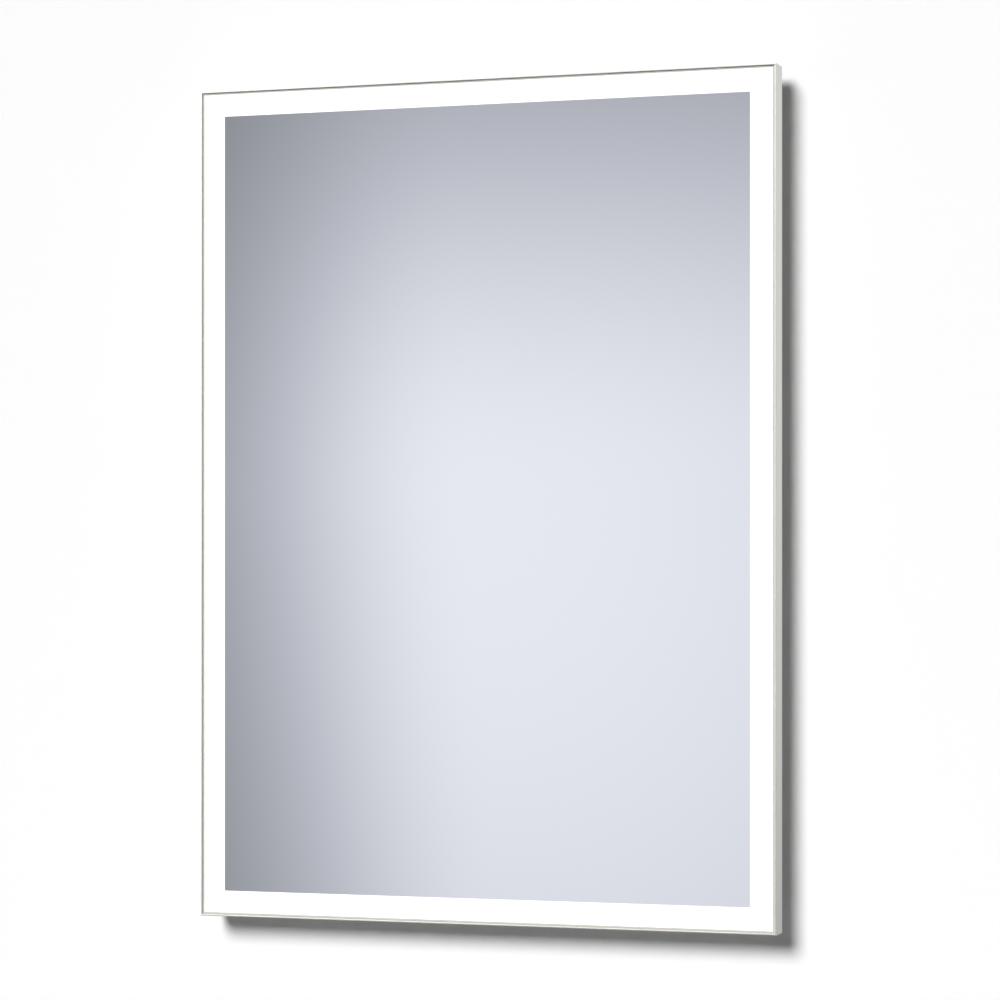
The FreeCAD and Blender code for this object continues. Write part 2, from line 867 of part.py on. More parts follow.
def back_panel():
    """Flat steel sheet screwed to the rear flange of the frame."""
    body = new_body("back_panel")

    def draw(sketch):
        side = "(mirror_width / 2 - panel_inset)"
        low = "bottom_up + panel_inset"
        draw_rectangle(sketch, f"-{side}", side, low, "rail_below_top - panel_inset")

    plate(body, "frame_back", "panel_back", draw)
    round_edge = []
    for side in SIDES:
        for along in side.screw_places():
            across, up = side.turned(along, f"{side.out} - channel_inset")
            round_edge.append((across, f"middle_up + {up}"))
    holes(body, round_edge, "screw_radius + screw_hole_gap")
    holes(body, box_screws(), "screw_radius")
    holes(body, [place for _, sign in HOOKS for place in hook_rivets(sign)], "rivet_radius")
    holes(body, [("grommet_across", "grommet_up")], "grommet_hole")
    holes(body, [("stud_across", "stud_height")], "stud_radius")
    return round_edge


edge_screws = back_panel()
group("panel_screws", [pan_screw(across, "panel_back", up) for across, up in edge_screws])

# ---------------------------------------------------------------- rail, hooks and bumpers


def wall_rail():
    """Folded steel rail: a slotted flange on the wall, a step, and a lip that stands up."""
    body = new_body("wall_rail")
    sketch = new_sketch(body, "YZ_Plane")
    section = [
        ("0", "-rail_low"),
        ("0", "rail_step"),
        ("rail_lip_back", "rail_step"),
        ("rail_lip_back", "rail_top"),
        ("-rail_reach", "rail_top"),
        ("-rail_reach", "rail_step - rail_thick"),
        ("-rail_thick", "rail_step - rail_thick"),
        ("-rail_thick", "-rail_low"),
    ]
    draw_outline(sketch, section)
    pad(body, sketch, "rail_long", both_ways=True)
    middles = [(f"{sign}(rail_slot_spacing / 2)", "0") for sign in ("-", "")]
    slots(body, middles, "rail_slot_radius", "rail_slot_long")


def hang_bracket(side_name, sign):
    """Folded steel hook: a plate riveted to the panel, and a lip that drops behind the rail's."""
    body = new_body("hang_bracket_" + side_name, across=f"{sign}(hook_spacing / 2)")
    sketch = new_sketch(body, "YZ_Plane")
    tip = "rail_top - hook_drop"
    section = [
        ("panel_back", "rail_top"),
        ("hook_front", "rail_top"),
        ("hook_front", tip),
        ("hook_front + hook_thick", tip),
        ("hook_front + hook_thick", "rail_top + hook_thick"),
        ("panel_back + hook_thick", "rail_top + hook_thick"),
        ("panel_back + hook_thick", "rail_top + hook_plate"),
        ("panel_back", "rail_top + hook_plate"),
    ]
    draw_outline(sketch, section)
    pad(body, sketch, "hook_wide", both_ways=True)
    half = "rivet_spacing / 2"
    up = "rail_top + rivet_up"
    holes(body, [(f"-({half})", up), (half, up)], "rivet_radius")


def rivet(across, up):
    """Blind rivet: a shank through hook and panel, with a head at each end."""
    seat = "panel_back + hook_thick"
    start = "frame_back - rivet_head_high"
    shank = rod("y", (across, start, up), "rivet_radius", f"{seat} - ({start})")
    head = rod("y", (across, seat, up), "rivet_head_radius", "rivet_head_high")
    tail = rod("y", (across, start, up), "rivet_head_radius", "rivet_head_high")
    return fuse(shank, head, tail)


def wall_spacer(sign):
    """Tapered rubber bumper from the panel to the wall."""
    bumper = doc.addObject("Part::Cone", "bumper")
    bumper.setExpression("Radius1", formula("spacer_radius"))
    bumper.setExpression("Radius2", formula("spacer_tip_radius"))
    bumper.setExpression("Height", formula("-(panel_back)"))
    across = f"{sign} * (mirror_width / 2 - spacer_inset)"
    return place_solid(bumper, "y", (across, "panel_back", "bottom_up + spacer_inset"))


wall_rail()
for hook_name, hook_sign in HOOKS:
    hang_bracket(hook_name, hook_sign)
group("hang_rivets", [rivet(*place) for _, sign in HOOKS for place in hook_rivets(sign)])
group("wall_spacers", [wall_spacer(sign) for sign in (-1, 1)])

# ---------------------------------------------------------------- electrical box


def driver_box():
    """Drawn steel cover, open towards the panel, with a screw flange at each end."""
    body = new_body("driver_box", up="box_up")
    wide, tall = "box_wide / 2", "box_tall / 2"

    def draw_cover(sketch):
        centred(sketch, wide, tall)

    def draw_flanges(sketch):
        centred(sketch, f"{wide} + box_flange", tall)

    def draw_cavity(sketch):
        centred(sketch, f"{wide} - box_sheet", f"{tall} - box_sheet")

    cover = plate(body, "panel_back", "box_back", draw_cover)
    names = []
    for number, edge in enumerate(cover.Shape.Edges, start=1):
        if edge.BoundBox.YLength > size("box_sheet"):
            names.append(f"Edge{number}")
    corners = body.newObject("PartDesign::Fillet", "corners")
    corners.Base = (cover, names)
    corners.setExpression("Radius", formula("box_corner"))
    doc.recompute()
    plate(body, "panel_back", "panel_back + box_sheet", draw_flanges)
    well(body, "panel_back", "box_inner_back", draw_cavity)
    screws = [(across, f"{up} - (box_up)") for across, up in box_screws()]
    holes(body, screws, "screw_radius + screw_hole_gap")

    def cut_bottom_wall(draw):
        """Cuts the bottom wall only: the sketch lies on the inside of it."""
        sketch = new_sketch(body, "XY_Plane", f"box_sheet - {tall}")
        draw(sketch)
        pocket(body, sketch, "box_sheet")

    cut_bottom_wall(
        lambda sketch: draw_circle(
            sketch, "terminal_middle", "gland_line", "gland_thread_radius"
        )
    )
    notch = "sensor_lead_radius"
    cut_bottom_wall(
        lambda sketch: draw_rectangle(
            sketch,
            f"sensor_across - {notch}",
            f"sensor_across + {notch}",
            "panel_back",
            f"panel_back + 2 * {notch}",
        )
    )


driver_box()
box_seat = "panel_back + box_sheet"
group("driver_box_screws", [pan_screw(across, box_seat, up) for across, up in box_screws()])

# ---------------------------------------------------------------- power supply


def driver_case():
    """Moulded tray stuck to the panel, with four posts for the circuit board."""
    outer = block(
        ("driver_left", "driver_right"),
        ("panel_back", "driver_back - driver_wall"),
        ("driver_bottom", "driver_top"),
    )
    inner = block(
        ("driver_left + driver_wall", "driver_right - driver_wall"),
        ("panel_back + driver_wall", "driver_back"),
        ("driver_bottom + driver_wall", "driver_top - driver_wall"),
    )
    inset = "driver_wall + post_inset"
    posts = []
    for across in (f"driver_left + {inset}", f"driver_right - ({inset})"):
        for up in (f"driver_bottom + {inset}", f"driver_top - ({inset})"):
            at = (across, "panel_back + driver_wall", up)
            posts.append(rod("y", at, "post_radius", "post_high"))
    keep(fuse(cut(outer, inner), *posts), "driver_case")


def driver_lid():
    """Flat lid welded on the tray."""
    lid = block(
        ("driver_left", "driver_right"),
        ("driver_back - driver_wall", "driver_back"),
        ("driver_bottom", "driver_top"),
    )
    keep(lid, "driver_lid")


def driver_board():
    """Circuit board on the posts."""
    edge = "driver_wall + board_gap"
    board = block(
        (f"driver_left + {edge}", f"driver_right - ({edge})"),
        ("board_front", "board_back"),
        (f"driver_bottom + {edge}", f"driver_top - ({edge})"),
    )
    keep(board, "driver_board")


def driver_transformer():
    """Transformer soldered to the middle of the board."""
    across = "(driver_left + driver_right) / 2"
    up = "(driver_bottom + driver_top) / 2"
    core = block(
        (f"{across} - transformer_long / 2", f"{across} + transformer_long / 2"),
        ("board_back", "board_back + transformer_high"),
        (f"{up} - transformer_wide / 2", f"{up} + transformer_wide / 2"),
    )
    keep(core, "driver_transformer")


driver_case()
driver_lid()
driver_board()
driver_transformer()

# ---------------------------------------------------------------- mains terminals

POLE_PLACES = [f"terminal_middle + {i - (POLES - 1) / 2} * pole_pitch" for i in range(POLES)]


def terminal_block():
    """Moulded block with a screw well and two core entries for each pole."""
    body = block(
        ("terminal_middle - terminal_long / 2", "terminal_middle + terminal_long / 2"),
        ("panel_back", "terminal_back"),
        ("terminal_bottom", "terminal_top"),
    )
    up = "(terminal_bottom + terminal_top) / 2"
    entry = "core_radius + entry_gap"
    tools = []
    for across in POLE_PLACES:
        floor = "terminal_back - pole_well_deep"
        tools.append(rod("y", (across, floor, up), "pole_well_radius", "pole_well_deep"))
        for foot in ("terminal_bottom", "terminal_top - entry_deep"):
            tools.append(rod("z", (across, "entry_line", foot), entry, "entry_deep"))
    keep(cut(body, fuse(*tools)), "terminal_block")


def terminal_screw(across):
    """Slotted clamp screw on the floor of its well."""
    floor = "terminal_back - pole_well_deep"
    up = "(terminal_bottom + terminal_top) / 2"
    radius = "pole_well_radius - pole_screw_gap"
    screw = rod("y", (across, floor, up), radius, "pole_screw_high")
    slot = block(
        (f"{across} - pole_well_radius", f"{across} + pole_well_radius"),
        (f"{floor} + pole_screw_high - pole_slot_wide", f"{floor} + pole_screw_high"),
        (f"{up} - pole_slot_wide / 2", f"{up} + pole_slot_wide / 2"),
    )
    return cut(screw, slot)


terminal_block()
group("terminal_screws", [terminal_screw(across) for across in POLE_PLACES])

# ---------------------------------------------------------------- cable gland


def gland_at(up):
    """A point on the gland's axis."""
    return ("terminal_middle", "gland_line", up)


def gland_body():
    """Threaded sleeve through the bottom of the box, with a hexagonal collar."""
    collar = hexagon("z", gland_at("box_bottom - gland_collar"), "gland_flats", "gland_collar")
    thread = rod("z", gland_at("box_bottom"), "gland_thread_radius", "gland_thread_long")
    neck = rod("z", gland_at("neck_end"), "gland_neck_radius", "gland_neck_long")
    whole = "gland_neck_long + gland_collar + gland_thread_long"
    bore = rod("z", gland_at("neck_end"), "gland_bore", whole)
    seat = rod("z", gland_at("neck_end"), "cable_bore_radius + seal_wall", "seal_long")
    keep(cut(fuse(collar, thread, neck), bore, seat), "gland_body")


def gland_nut():
    """Lock nut inside the box."""
    foot = "box_bottom + box_sheet"
    nut = hexagon("z", gland_at(foot), "gland_flats", "gland_nut_high")
    hole = rod("z", gland_at(foot), "gland_thread_radius", "gland_nut_high")
    keep(cut(nut, hole), "gland_nut")


def gland_seal():
    """Rubber sleeve that grips the cable inside the gland."""
    sleeve = rod("z", gland_at("neck_end"), "cable_bore_radius + seal_wall", "seal_long")
    bore = rod("z", gland_at("neck_end"), "cable_bore_radius", "seal_long")
    keep(cut(sleeve, bore), "gland_seal")


def gland_cap():
    """Ribless dome nut that screws over the neck and squeezes the seal."""
    whole = rod("z", gland_at("cap_bottom"), "cap_radius", "cap_top - (cap_bottom)")
    bore = rod("z", gland_at("cap_bottom"), "gland_bore", "cap_end_wall")
    floor = "cap_bottom + cap_end_wall"
    inside = rod(
        "z", gland_at(floor), "gland_neck_radius + cap_fit_gap", f"cap_top - ({floor})"
    )
    keep(cut(whole, bore, inside), "gland_cap")


gland_body()
gland_nut()
gland_cap()
gland_seal()

# ---------------------------------------------------------------- earth stud and grommet


def earth_stud():
    """Threaded stud pressed into the panel."""
    whole = "panel_thick + stud_long"
    stud = rod("y", ("stud_across", "frame_back", "stud_height"), "stud_radius", whole)
    keep(stud, "earth_stud")


def earth_nut():
    """Nut that clamps the ring tag of the earth core."""
    at = ("stud_across", "panel_back + tag_thick", "stud_height")
    nut = hexagon("y", at, "stud_nut_flats", "stud_nut_high")
    hole = rod("y", at, "stud_radius", "stud_nut_high")
    keep(cut(nut, hole), "earth_nut")


def panel_grommet():
    """Rubber ring with a lip on each face of the panel."""
    start = "frame_back - grommet_lip_thick"
    whole = "panel_thick + 2 * grommet_lip_thick"
    at = ("grommet_across", start, "grommet_up")
    ring = rod("y", at, "grommet_hole + grommet_lip", whole)
    bore = rod("y", at, "grommet_bore", whole)
    waist_at = ("grommet_across", "frame_back", "grommet_up")
    waist = cut(
        rod("y", waist_at, "grommet_hole + grommet_lip", "panel_thick"),
        rod("y", waist_at, "grommet_hole", "panel_thick"),
    )
    keep(cut(ring, bore, waist), "panel_grommet")


earth_stud()
earth_nut()
panel_grommet()

# ---------------------------------------------------------------- contactless switch

SENSOR_ACROSS = ("sensor_across - sensor_wide / 2", "sensor_across + sensor_wide / 2")


def sensor_housing():
    """Moulded shell on the panel, with a window in its underside and a lead hole on top."""
    shell = block(SENSOR_ACROSS, ("panel_back", "sensor_back"), ("sensor_bottom", "sensor_top"))
    cavity = block(
        (f"{SENSOR_ACROSS[0]} + sensor_wall", f"{SENSOR_ACROSS[1]} - sensor_wall"),
        ("panel_back", "sensor_back - sensor_wall"),
        ("sensor_bottom + sensor_wall", "sensor_top - sensor_wall"),
    )
    window = rod("z", ("sensor_across", "lens_line", "sensor_bottom"), "lens_radius", "sensor_wall")
    notch = block(
        ("sensor_across - sensor_lead_radius", "sensor_across + sensor_lead_radius"),
        ("panel_back", "panel_back + 2 * sensor_lead_radius"),
        ("sensor_top - sensor_wall", "sensor_top"),
    )
    keep(cut(shell, cavity, window, notch), "sensor_housing")


def sensor_lens():
    """Dark window that the sensor looks down through."""
    at = ("sensor_across", "lens_line", "sensor_bottom - lens_proud")
    keep(rod("z", at, "lens_radius", "lens_proud + sensor_wall + lens_inside"), "sensor_lens")


def sensor_board():
    """Circuit board across the shell, just above the window."""
    foot = "sensor_bottom + sensor_wall + lens_inside"
    board = block(
        (f"{SENSOR_ACROSS[0]} + sensor_wall", f"{SENSOR_ACROSS[1]} - sensor_wall"),
        ("panel_back + 2 * sensor_lead_radius", "sensor_back - sensor_wall"),
        (foot, f"{foot} + sensor_board_thick"),
    )
    keep(board, "sensor_board")


sensor_housing()
sensor_lens()
sensor_board()

# ---------------------------------------------------------------- lead clips


def lead_clip(across, up, radius, seat, line, away):
    """Saddle stuck to one face of the panel, arched over a lead whose line lies off that face."""
    crown = f"{line} {away} ({radius} + clip_wall)"
    foot, top = f"{up} - clip_tall / 2", f"{up} + clip_tall / 2"
    depth = (seat, crown) if away == "+" else (crown, seat)
    legs = (seat, line) if away == "+" else (line, seat)
    saddle = block((f"{across} - clip_wide / 2", f"{across} + clip_wide / 2"), depth, (foot, top))
    arch = rod("z", (across, line, foot), radius, "clip_tall")
    opening = block((f"{across} - {radius}", f"{across} + {radius}"), legs, (foot, top))
    return cut(saddle, fuse(arch, opening))


FEED_ACROSS = "grommet_across - lead_pitch / 2"
FEED_TURN = "bottom_up + feed_inset"
clips = []
for i in range(CLIPS_PER_LEAD):
    share = f"{i + 1} / {CLIPS_PER_LEAD + 1}"
    sensor_clip = f"sensor_top + (box_bottom - (sensor_top)) * {share}"
    sensor_line = "panel_back + sensor_lead_radius"
    seat = ("sensor_lead_radius", "panel_back", sensor_line, "+")
    clips.append(lead_clip("sensor_across", sensor_clip, *seat))
    feed_clip = f"{FEED_TURN} + (grommet_up - ({FEED_TURN})) * {share}"
    seat = ("lead_radius", "frame_back", "feed_line", "-")
    clips.append(lead_clip(FEED_ACROSS, feed_clip, *seat))
group("lead_clips", clips)
doc.recompute()

# ---------------------------------------------------------------- leads

# The leads run between finished pieces, so their ends are read from those pieces' boxes.
driver = box_of("driver_case")
terminals = box_of("terminal_block")
grommet = box_of("panel_grommet")
panel = box_of("back_panel")
bottom_board = box_of("led_board_bottom")
pad_box = box_of("demister_pad")
stud = box_of("earth_stud")
lead_line = panel.YMax + size("lead_up")
grommet_middle = grommet.Center

# Supply to the light strips: down inside the box, through the grommet, down the front of the
# panel, and through the reflector to a pad of the lower strip, beside its row of emitters.
feed_x = grommet_middle.x - size("lead_pitch") / 2
feed_front = grommet.YMin - size("lead_radius")
pad_line = bottom_board.YMax - size("feed_pad_inset")
frame_bottom = size("rail_below_top") - size("mirror_height")
feed_turn = frame_bottom + size("feed_inset")
feed_points = [
    (feed_x, lead_line, driver.ZMin),
    (feed_x, lead_line, grommet_middle.z),
    (feed_x, feed_front, grommet_middle.z),
    (feed_x, feed_front, feed_turn),
    (feed_x, pad_line, feed_turn),
    (feed_x, pad_line, bottom_board.ZMax),
]
lead("led_lead", [lead_shape(feed_points, size("lead_radius"), size("lead_bend"))])

# Supply to the heating pad, beside it, straight on to the pad.
heat_x = grommet_middle.x + size("lead_pitch") / 2
heat_points = [
    (heat_x, lead_line, driver.ZMin),
    (heat_x, lead_line, grommet_middle.z),
    (heat_x, pad_box.YMax, grommet_middle.z),
]
lead("demister_lead", [lead_shape(heat_points, size("lead_radius"), size("lead_bend"))])

# Switching lead, straight up the wall side of the panel to the power supply.
sensor = box_of("sensor_housing")
sensor_line = panel.YMax + size("sensor_lead_radius")
sensor_points = [
    (sensor.Center.x, sensor_line, sensor.ZMax - size("sensor_wall")),
    (sensor.Center.x, sensor_line, driver.ZMin),
]
lead("sensor_lead", [lead_shape(sensor_points, size("sensor_lead_radius"), size("lead_bend"))])

# Mains cores from the terminals, across, and up into the lower edge of the power supply.
pole_line = panel.YMax + size("entry_up")
core_foot = terminals.ZMax - size("entry_deep")
poles = [terminals.XMin + (i + 0.5) * size("pole_pitch") for i in range(POLES)]
for core, pole_x in (("live", poles[0]), ("neutral", poles[1])):
    turn_up = terminals.ZMax + size(core + "_up")
    entry_x = driver.XMax - size(core + "_entry")
    core_points = [
        (pole_x, pole_line, core_foot),
        (pole_x, pole_line, turn_up),
        (entry_x, pole_line, turn_up),
        (entry_x, pole_line, driver.ZMin),
    ]
    core_shape = lead_shape(core_points, size("core_radius"), size("core_bend"))
    lead(core + "_core", [core_shape])

# Earth core from the last pole to a ring tag under the nut of the stud.
tag_back = panel.YMax + size("tag_thick")
tag_line = tag_back + size("core_radius") - size("tag_crimp")
tag_edge = stud.Center.z - size("tag_radius")
earth_points = [
    (stud.Center.x, pole_line, core_foot),
    (stud.Center.x, pole_line, terminals.ZMax + size("core_bend")),
    (stud.Center.x, tag_line, tag_edge - size("core_bend")),
    (stud.Center.x, tag_line, tag_edge + size("core_radius")),
]
earth_shape = lead_shape(earth_points, size("core_radius"), size("core_bend"))
depth_axis = FreeCAD.Vector(0, 1, 0)
tag_middle = FreeCAD.Vector(stud.Center.x, panel.YMax, stud.Center.z)
ring_tag = Part.makeCylinder(size("tag_radius"), size("tag_thick"), tag_middle, depth_axis)
ring_hole = Part.makeCylinder(size("stud_radius"), size("tag_thick"), tag_middle, depth_axis)
lead("earth_core", [earth_shape.fuse(ring_tag).cut(ring_hole)])

# Jumpers that join the strips round three corners; the chain starts and ends at the fourth.
half_across = size("mirror_width") / 2
half_up = size("mirror_height") / 2
mirror_middle = frame_bottom + half_up
strip_line = bottom_board.Center.y
link_inset = size("frame_wall") + size("led_board_thick") / 2
links = []
for x_sign, z_sign in ((-1, -1), (-1, 1), (1, 1)):
    link_x = x_sign * (half_across - link_inset)
    link_z = mirror_middle + z_sign * (half_up - link_inset)
    link_points = [
        (x_sign * (half_across - size("led_end_gap")), strip_line, link_z),
        (link_x, strip_line, link_z),
        (link_x, strip_line, mirror_middle + z_sign * (half_up - size("led_end_gap"))),
    ]
    links.append(lead_shape(link_points, size("link_radius"), size("link_bend")))
lead("led_corner_links", links)

# ---------------------------------------------------------------- checks and export

doc.recompute()
for item in doc.Objects:
    if {"Invalid", "Error"} & set(item.State):
        raise RuntimeError(f"{item.Label} was not built: {item.State}")
labels = [part.Label for part in nodes]
if len(set(labels)) != len(labels):
    raise RuntimeError("two pieces share a name")

os.makedirs("parts", exist_ok=True)
for part in nodes:
    shape = part.Shape
    if shape.isNull() or not shape.isValid() or not shape.Solids:
        raise RuntimeError(f"{part.Label} has no valid solid")
    shape.exportStep(f"parts/{part.Label}.step")
print(f"{len(nodes)} pieces written")
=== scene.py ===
import json
import math

import bmesh
import bpy
from mathutils import Matrix, Vector

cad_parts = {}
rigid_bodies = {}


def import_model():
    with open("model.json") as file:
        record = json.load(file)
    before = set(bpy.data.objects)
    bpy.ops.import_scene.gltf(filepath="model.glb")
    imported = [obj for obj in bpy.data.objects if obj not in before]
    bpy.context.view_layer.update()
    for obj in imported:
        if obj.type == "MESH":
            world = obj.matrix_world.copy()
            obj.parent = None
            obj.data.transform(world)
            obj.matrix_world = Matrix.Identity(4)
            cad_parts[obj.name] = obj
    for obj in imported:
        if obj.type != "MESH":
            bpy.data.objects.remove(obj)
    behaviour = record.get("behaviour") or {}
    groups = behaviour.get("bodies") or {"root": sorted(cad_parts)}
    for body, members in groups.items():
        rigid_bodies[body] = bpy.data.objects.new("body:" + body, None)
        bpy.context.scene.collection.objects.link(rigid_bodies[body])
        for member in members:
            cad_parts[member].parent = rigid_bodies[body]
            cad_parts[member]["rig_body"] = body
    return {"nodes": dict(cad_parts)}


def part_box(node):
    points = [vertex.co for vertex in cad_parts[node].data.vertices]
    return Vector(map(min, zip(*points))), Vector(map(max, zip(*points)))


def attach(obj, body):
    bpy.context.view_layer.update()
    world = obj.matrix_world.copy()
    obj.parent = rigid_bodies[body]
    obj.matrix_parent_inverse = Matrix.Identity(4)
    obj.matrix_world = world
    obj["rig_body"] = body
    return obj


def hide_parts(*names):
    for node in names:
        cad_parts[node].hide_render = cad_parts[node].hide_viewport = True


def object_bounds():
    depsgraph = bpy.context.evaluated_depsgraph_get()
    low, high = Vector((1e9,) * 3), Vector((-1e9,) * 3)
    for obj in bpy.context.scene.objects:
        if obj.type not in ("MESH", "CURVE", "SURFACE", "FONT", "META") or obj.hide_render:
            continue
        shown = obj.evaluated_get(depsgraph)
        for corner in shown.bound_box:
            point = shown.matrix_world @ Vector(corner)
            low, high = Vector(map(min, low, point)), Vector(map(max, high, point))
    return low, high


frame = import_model()
cad_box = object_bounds()

# ------------------------------------------------------------------ wall and floor
# The mirror hangs on a plain white wall above a pale floor. Both are matt paint. The wall shows only
# its front, stands just clear of the rail and isn't mirrored, so that the back can be looked at.

MM = 0.001
WHOLE_LOW, WHOLE_HIGH = (Vector(corner) for corner in cad_box)
WALL_SIZE = 9.0
WALL_BEHIND = 0.2 * MM
FLOOR_BELOW = 1.15
WALL_WHITE = 0.72
FLOOR_PALE = 0.5
STAGE_WHITE_SEEN = 1.0


class Value:
    """One output of a material's nodes, which can be reckoned with as a number."""

    def __init__(self, finish, socket):
        self.finish = finish
        self.socket = socket

    def reckon(self, operation, *others):
        settings = {"operation": operation}
        return self.finish.node("ShaderNodeMath", settings, *others)

    def __add__(self, other):
        return self.reckon("ADD", self, other)

    def __sub__(self, other):
        return self.reckon("SUBTRACT", self, other)

    def __rsub__(self, other):
        return self.reckon("SUBTRACT", other, self)

    def __mul__(self, other):
        return self.reckon("MULTIPLY", self, other)

    def __truediv__(self, other):
        return self.reckon("DIVIDE", self, other)

    __radd__ = __add__
    __rmul__ = __mul__

    def smallest(self, other):
        return self.reckon("MINIMUM", self, other)

    def largest(self, other):
        return self.reckon("MAXIMUM", self, other)

    def size(self):
        return self.reckon("ABSOLUTE", self)

    def between(self, low, high):
        """0 below low, 1 above high and a smooth rise from one to the other."""
        settings = {"interpolation_type": "SMOOTHSTEP"}
        return self.finish.node("ShaderNodeMapRange", settings, self, low, high)


class Finish:
    """A material, made node by node."""

    def __init__(self, name, target=None):
        if target is None:
            target = bpy.data.materials.new(name)
        target.use_nodes = True
        self.target = target
        self.tree = target.node_tree
        self.tree.nodes.clear()

    def node(self, kind, settings=None, *inputs, output=0, **named):
        """Adds a node, sets it up, joins its inputs, and gives one of its outputs."""
        made = self.tree.nodes.new(kind)
        for key, value in (settings or {}).items():
            if key == "stops":
                self.set_stops(made.color_ramp, value)
            else:
                setattr(made, key, value)
        for place, value in list(enumerate(inputs)) + list(named.items()):
            if isinstance(place, str):
                place = place.replace("_", " ")
            socket = made.inputs[place]
            if isinstance(value, Value):
                self.tree.links.new(value.socket, socket)
            else:
                socket.default_value = value
        return Value(self, made.outputs[output]) if made.outputs else None

    def set_stops(self, ramp, stops):
        while len(ramp.elements) < len(stops):
            ramp.elements.new(0.5)
        for element, (place, colour) in zip(ramp.elements, stops):
            element.position = place
            element.color = (*colour, 1)

    def place(self, stretch=(1, 1, 1)):
        """A point's place on the piece, in metres, stretched for a pattern."""
        here = self.node("ShaderNodeTexCoord", output="Object")
        if stretch == (1, 1, 1):
            return here
        return self.node("ShaderNodeMapping", None, here, Scale=stretch)

    def axes(self, point):
        """The three numbers of a point."""
        split = self.node("ShaderNodeSeparateXYZ", None, point)
        outputs = split.socket.node.outputs
        return [Value(self, outputs[i]) for i in range(3)]

    def noise(self, point, scale, detail=2.0, roughness=0.5):
        return self.node(
            "ShaderNodeTexNoise", None, Vector=point, Scale=scale, Detail=detail,
            Roughness=roughness,
        )

    def mix(self, share, first, second):
        """From one colour to another."""
        made = self.tree.nodes.new("ShaderNodeMix")
        made.data_type = "RGBA"
        for place, value in ((0, share), (6, first), (7, second)):
            if isinstance(value, Value):
                self.tree.links.new(value.socket, made.inputs[place])
            else:
                colour = (*value, 1) if place else value
                made.inputs[place].default_value = colour
        return Value(self, made.outputs[2])

    def bump(self, height, deep):
        """The surface's slope from a height of 0 to 1 that stands for deep metres."""
        return self.node("ShaderNodeBump", None, Height=height, Distance=deep, Strength=1.0)

    def close(self, shader):
        kind = "World" if isinstance(self.target, bpy.types.World) else "Material"
        self.node("ShaderNodeOutput" + kind, None, shader)
        return self.target

    def surface(self, colour, rough, metal=0.0, **named):
        """Ends the material in a Principled surface."""
        values = {"Base_Color": colour, "Roughness": rough, "Metallic": metal, **named}
        for key in ("Base_Color", "Emission_Color"):
            if key in values and not isinstance(values[key], Value):
                values[key] = (*values[key], 1)
        return self.close(self.node("ShaderNodeBsdfPrincipled", None, **values))


def stage_finish(name, level, one_sided):
    """Matt paint that looks pure white where it is fully lit."""
    finish = Finish(name)
    ray = finish.node("ShaderNodeLightPath", output="Is Camera Ray")
    tone = finish.mix(ray, (level,) * 3, (STAGE_WHITE_SEEN,) * 3)
    shader = finish.node("ShaderNodeBsdfDiffuse", None, tone)
    if one_sided:
        behind = finish.node("ShaderNodeNewGeometry", output="Backfacing")
        clear = finish.node("ShaderNodeBsdfTransparent")
        shader = finish.node("ShaderNodeMixShader", None, behind, shader, clear)
    return finish.close(shader)


def new_piece(name, mesh, *materials):
    """Makes an object of a finished bmesh."""
    data = bpy.data.meshes.new(name)
    mesh.to_mesh(data)
    mesh.free()
    for material in materials:
        data.materials.append(material)
    piece = bpy.data.objects.new(name, data)
    bpy.context.scene.collection.objects.link(piece)
    return piece


def stage_plane(name, turn, at, material):
    mesh = bmesh.new()
    bmesh.ops.create_grid(mesh, x_segments=1, y_segments=1, size=WALL_SIZE / 2)
    bmesh.ops.rotate(mesh, verts=mesh.verts, matrix=turn)
    bmesh.ops.translate(mesh, verts=mesh.verts, vec=at)
    plane = new_piece(name, mesh, material)
    return plane


facing_front = Matrix.Rotation(math.radians(90), 3, "X")
floor_height = WHOLE_LOW.z - FLOOR_BELOW
wall_paint = stage_finish("wall_paint", WALL_WHITE, True)
wall = stage_plane("wall", facing_front, (0, WALL_BEHIND, 0), wall_paint)
floor_paint = stage_finish("floor_paint", FLOOR_PALE, False)
stage_plane("floor", Matrix.Identity(3), (0, 0, floor_height), floor_paint)
wall.visible_shadow = False
wall.visible_diffuse = False
wall.visible_glossy = False

# ------------------------------------------------------------------ camera
# The mirror is seen from its right, a little below its middle, with upright verticals.

CAMERA_AZIMUTH = 17.79
CAMERA_LENS = 114.1
CAMERA_ASIDE = 0.8155
CAMERA_AWAY = 2.4877
CAMERA_BELOW_MIDDLE = 0.064
CAMERA_SHIFT = 0.0791

camera = bpy.data.objects.new("camera", bpy.data.cameras.new("camera"))
bpy.context.scene.collection.objects.link(camera)
camera.data.lens = CAMERA_LENS
camera.data.shift_y = CAMERA_SHIFT
middle_height = (WHOLE_LOW.z + WHOLE_HIGH.z) / 2
camera.location = (
    CAMERA_ASIDE,
    WHOLE_LOW.y - CAMERA_AWAY,
    middle_height - CAMERA_BELOW_MIDDLE,
)
camera.rotation_euler = (math.radians(90), 0, math.radians(CAMERA_AZIMUTH))
bpy.context.scene.camera = camera
bpy.context.scene.view_settings.view_transform = "Standard"

# ------------------------------------------------------------------ light
# A broad key from the upper left throws the mirror's shadow to its right and below. Two soft boxes
# behind the wall light the back. None of the three shows in polished pieces. The room around is
# dim and even for paint.

KEY_AIM = (0.24, 1.0, -0.485)
KEY_SPREAD = 21.0
KEY_LEVEL = 3.1
FILL_LEVEL = 0.06
BACK_BOX_SIZE = 1.6
BACK_BOX_ASIDE = 1.6
BACK_BOX_BEHIND = 2.0
BACK_BOX_UP = 0.8
BACK_BOX_POWER = 30.0

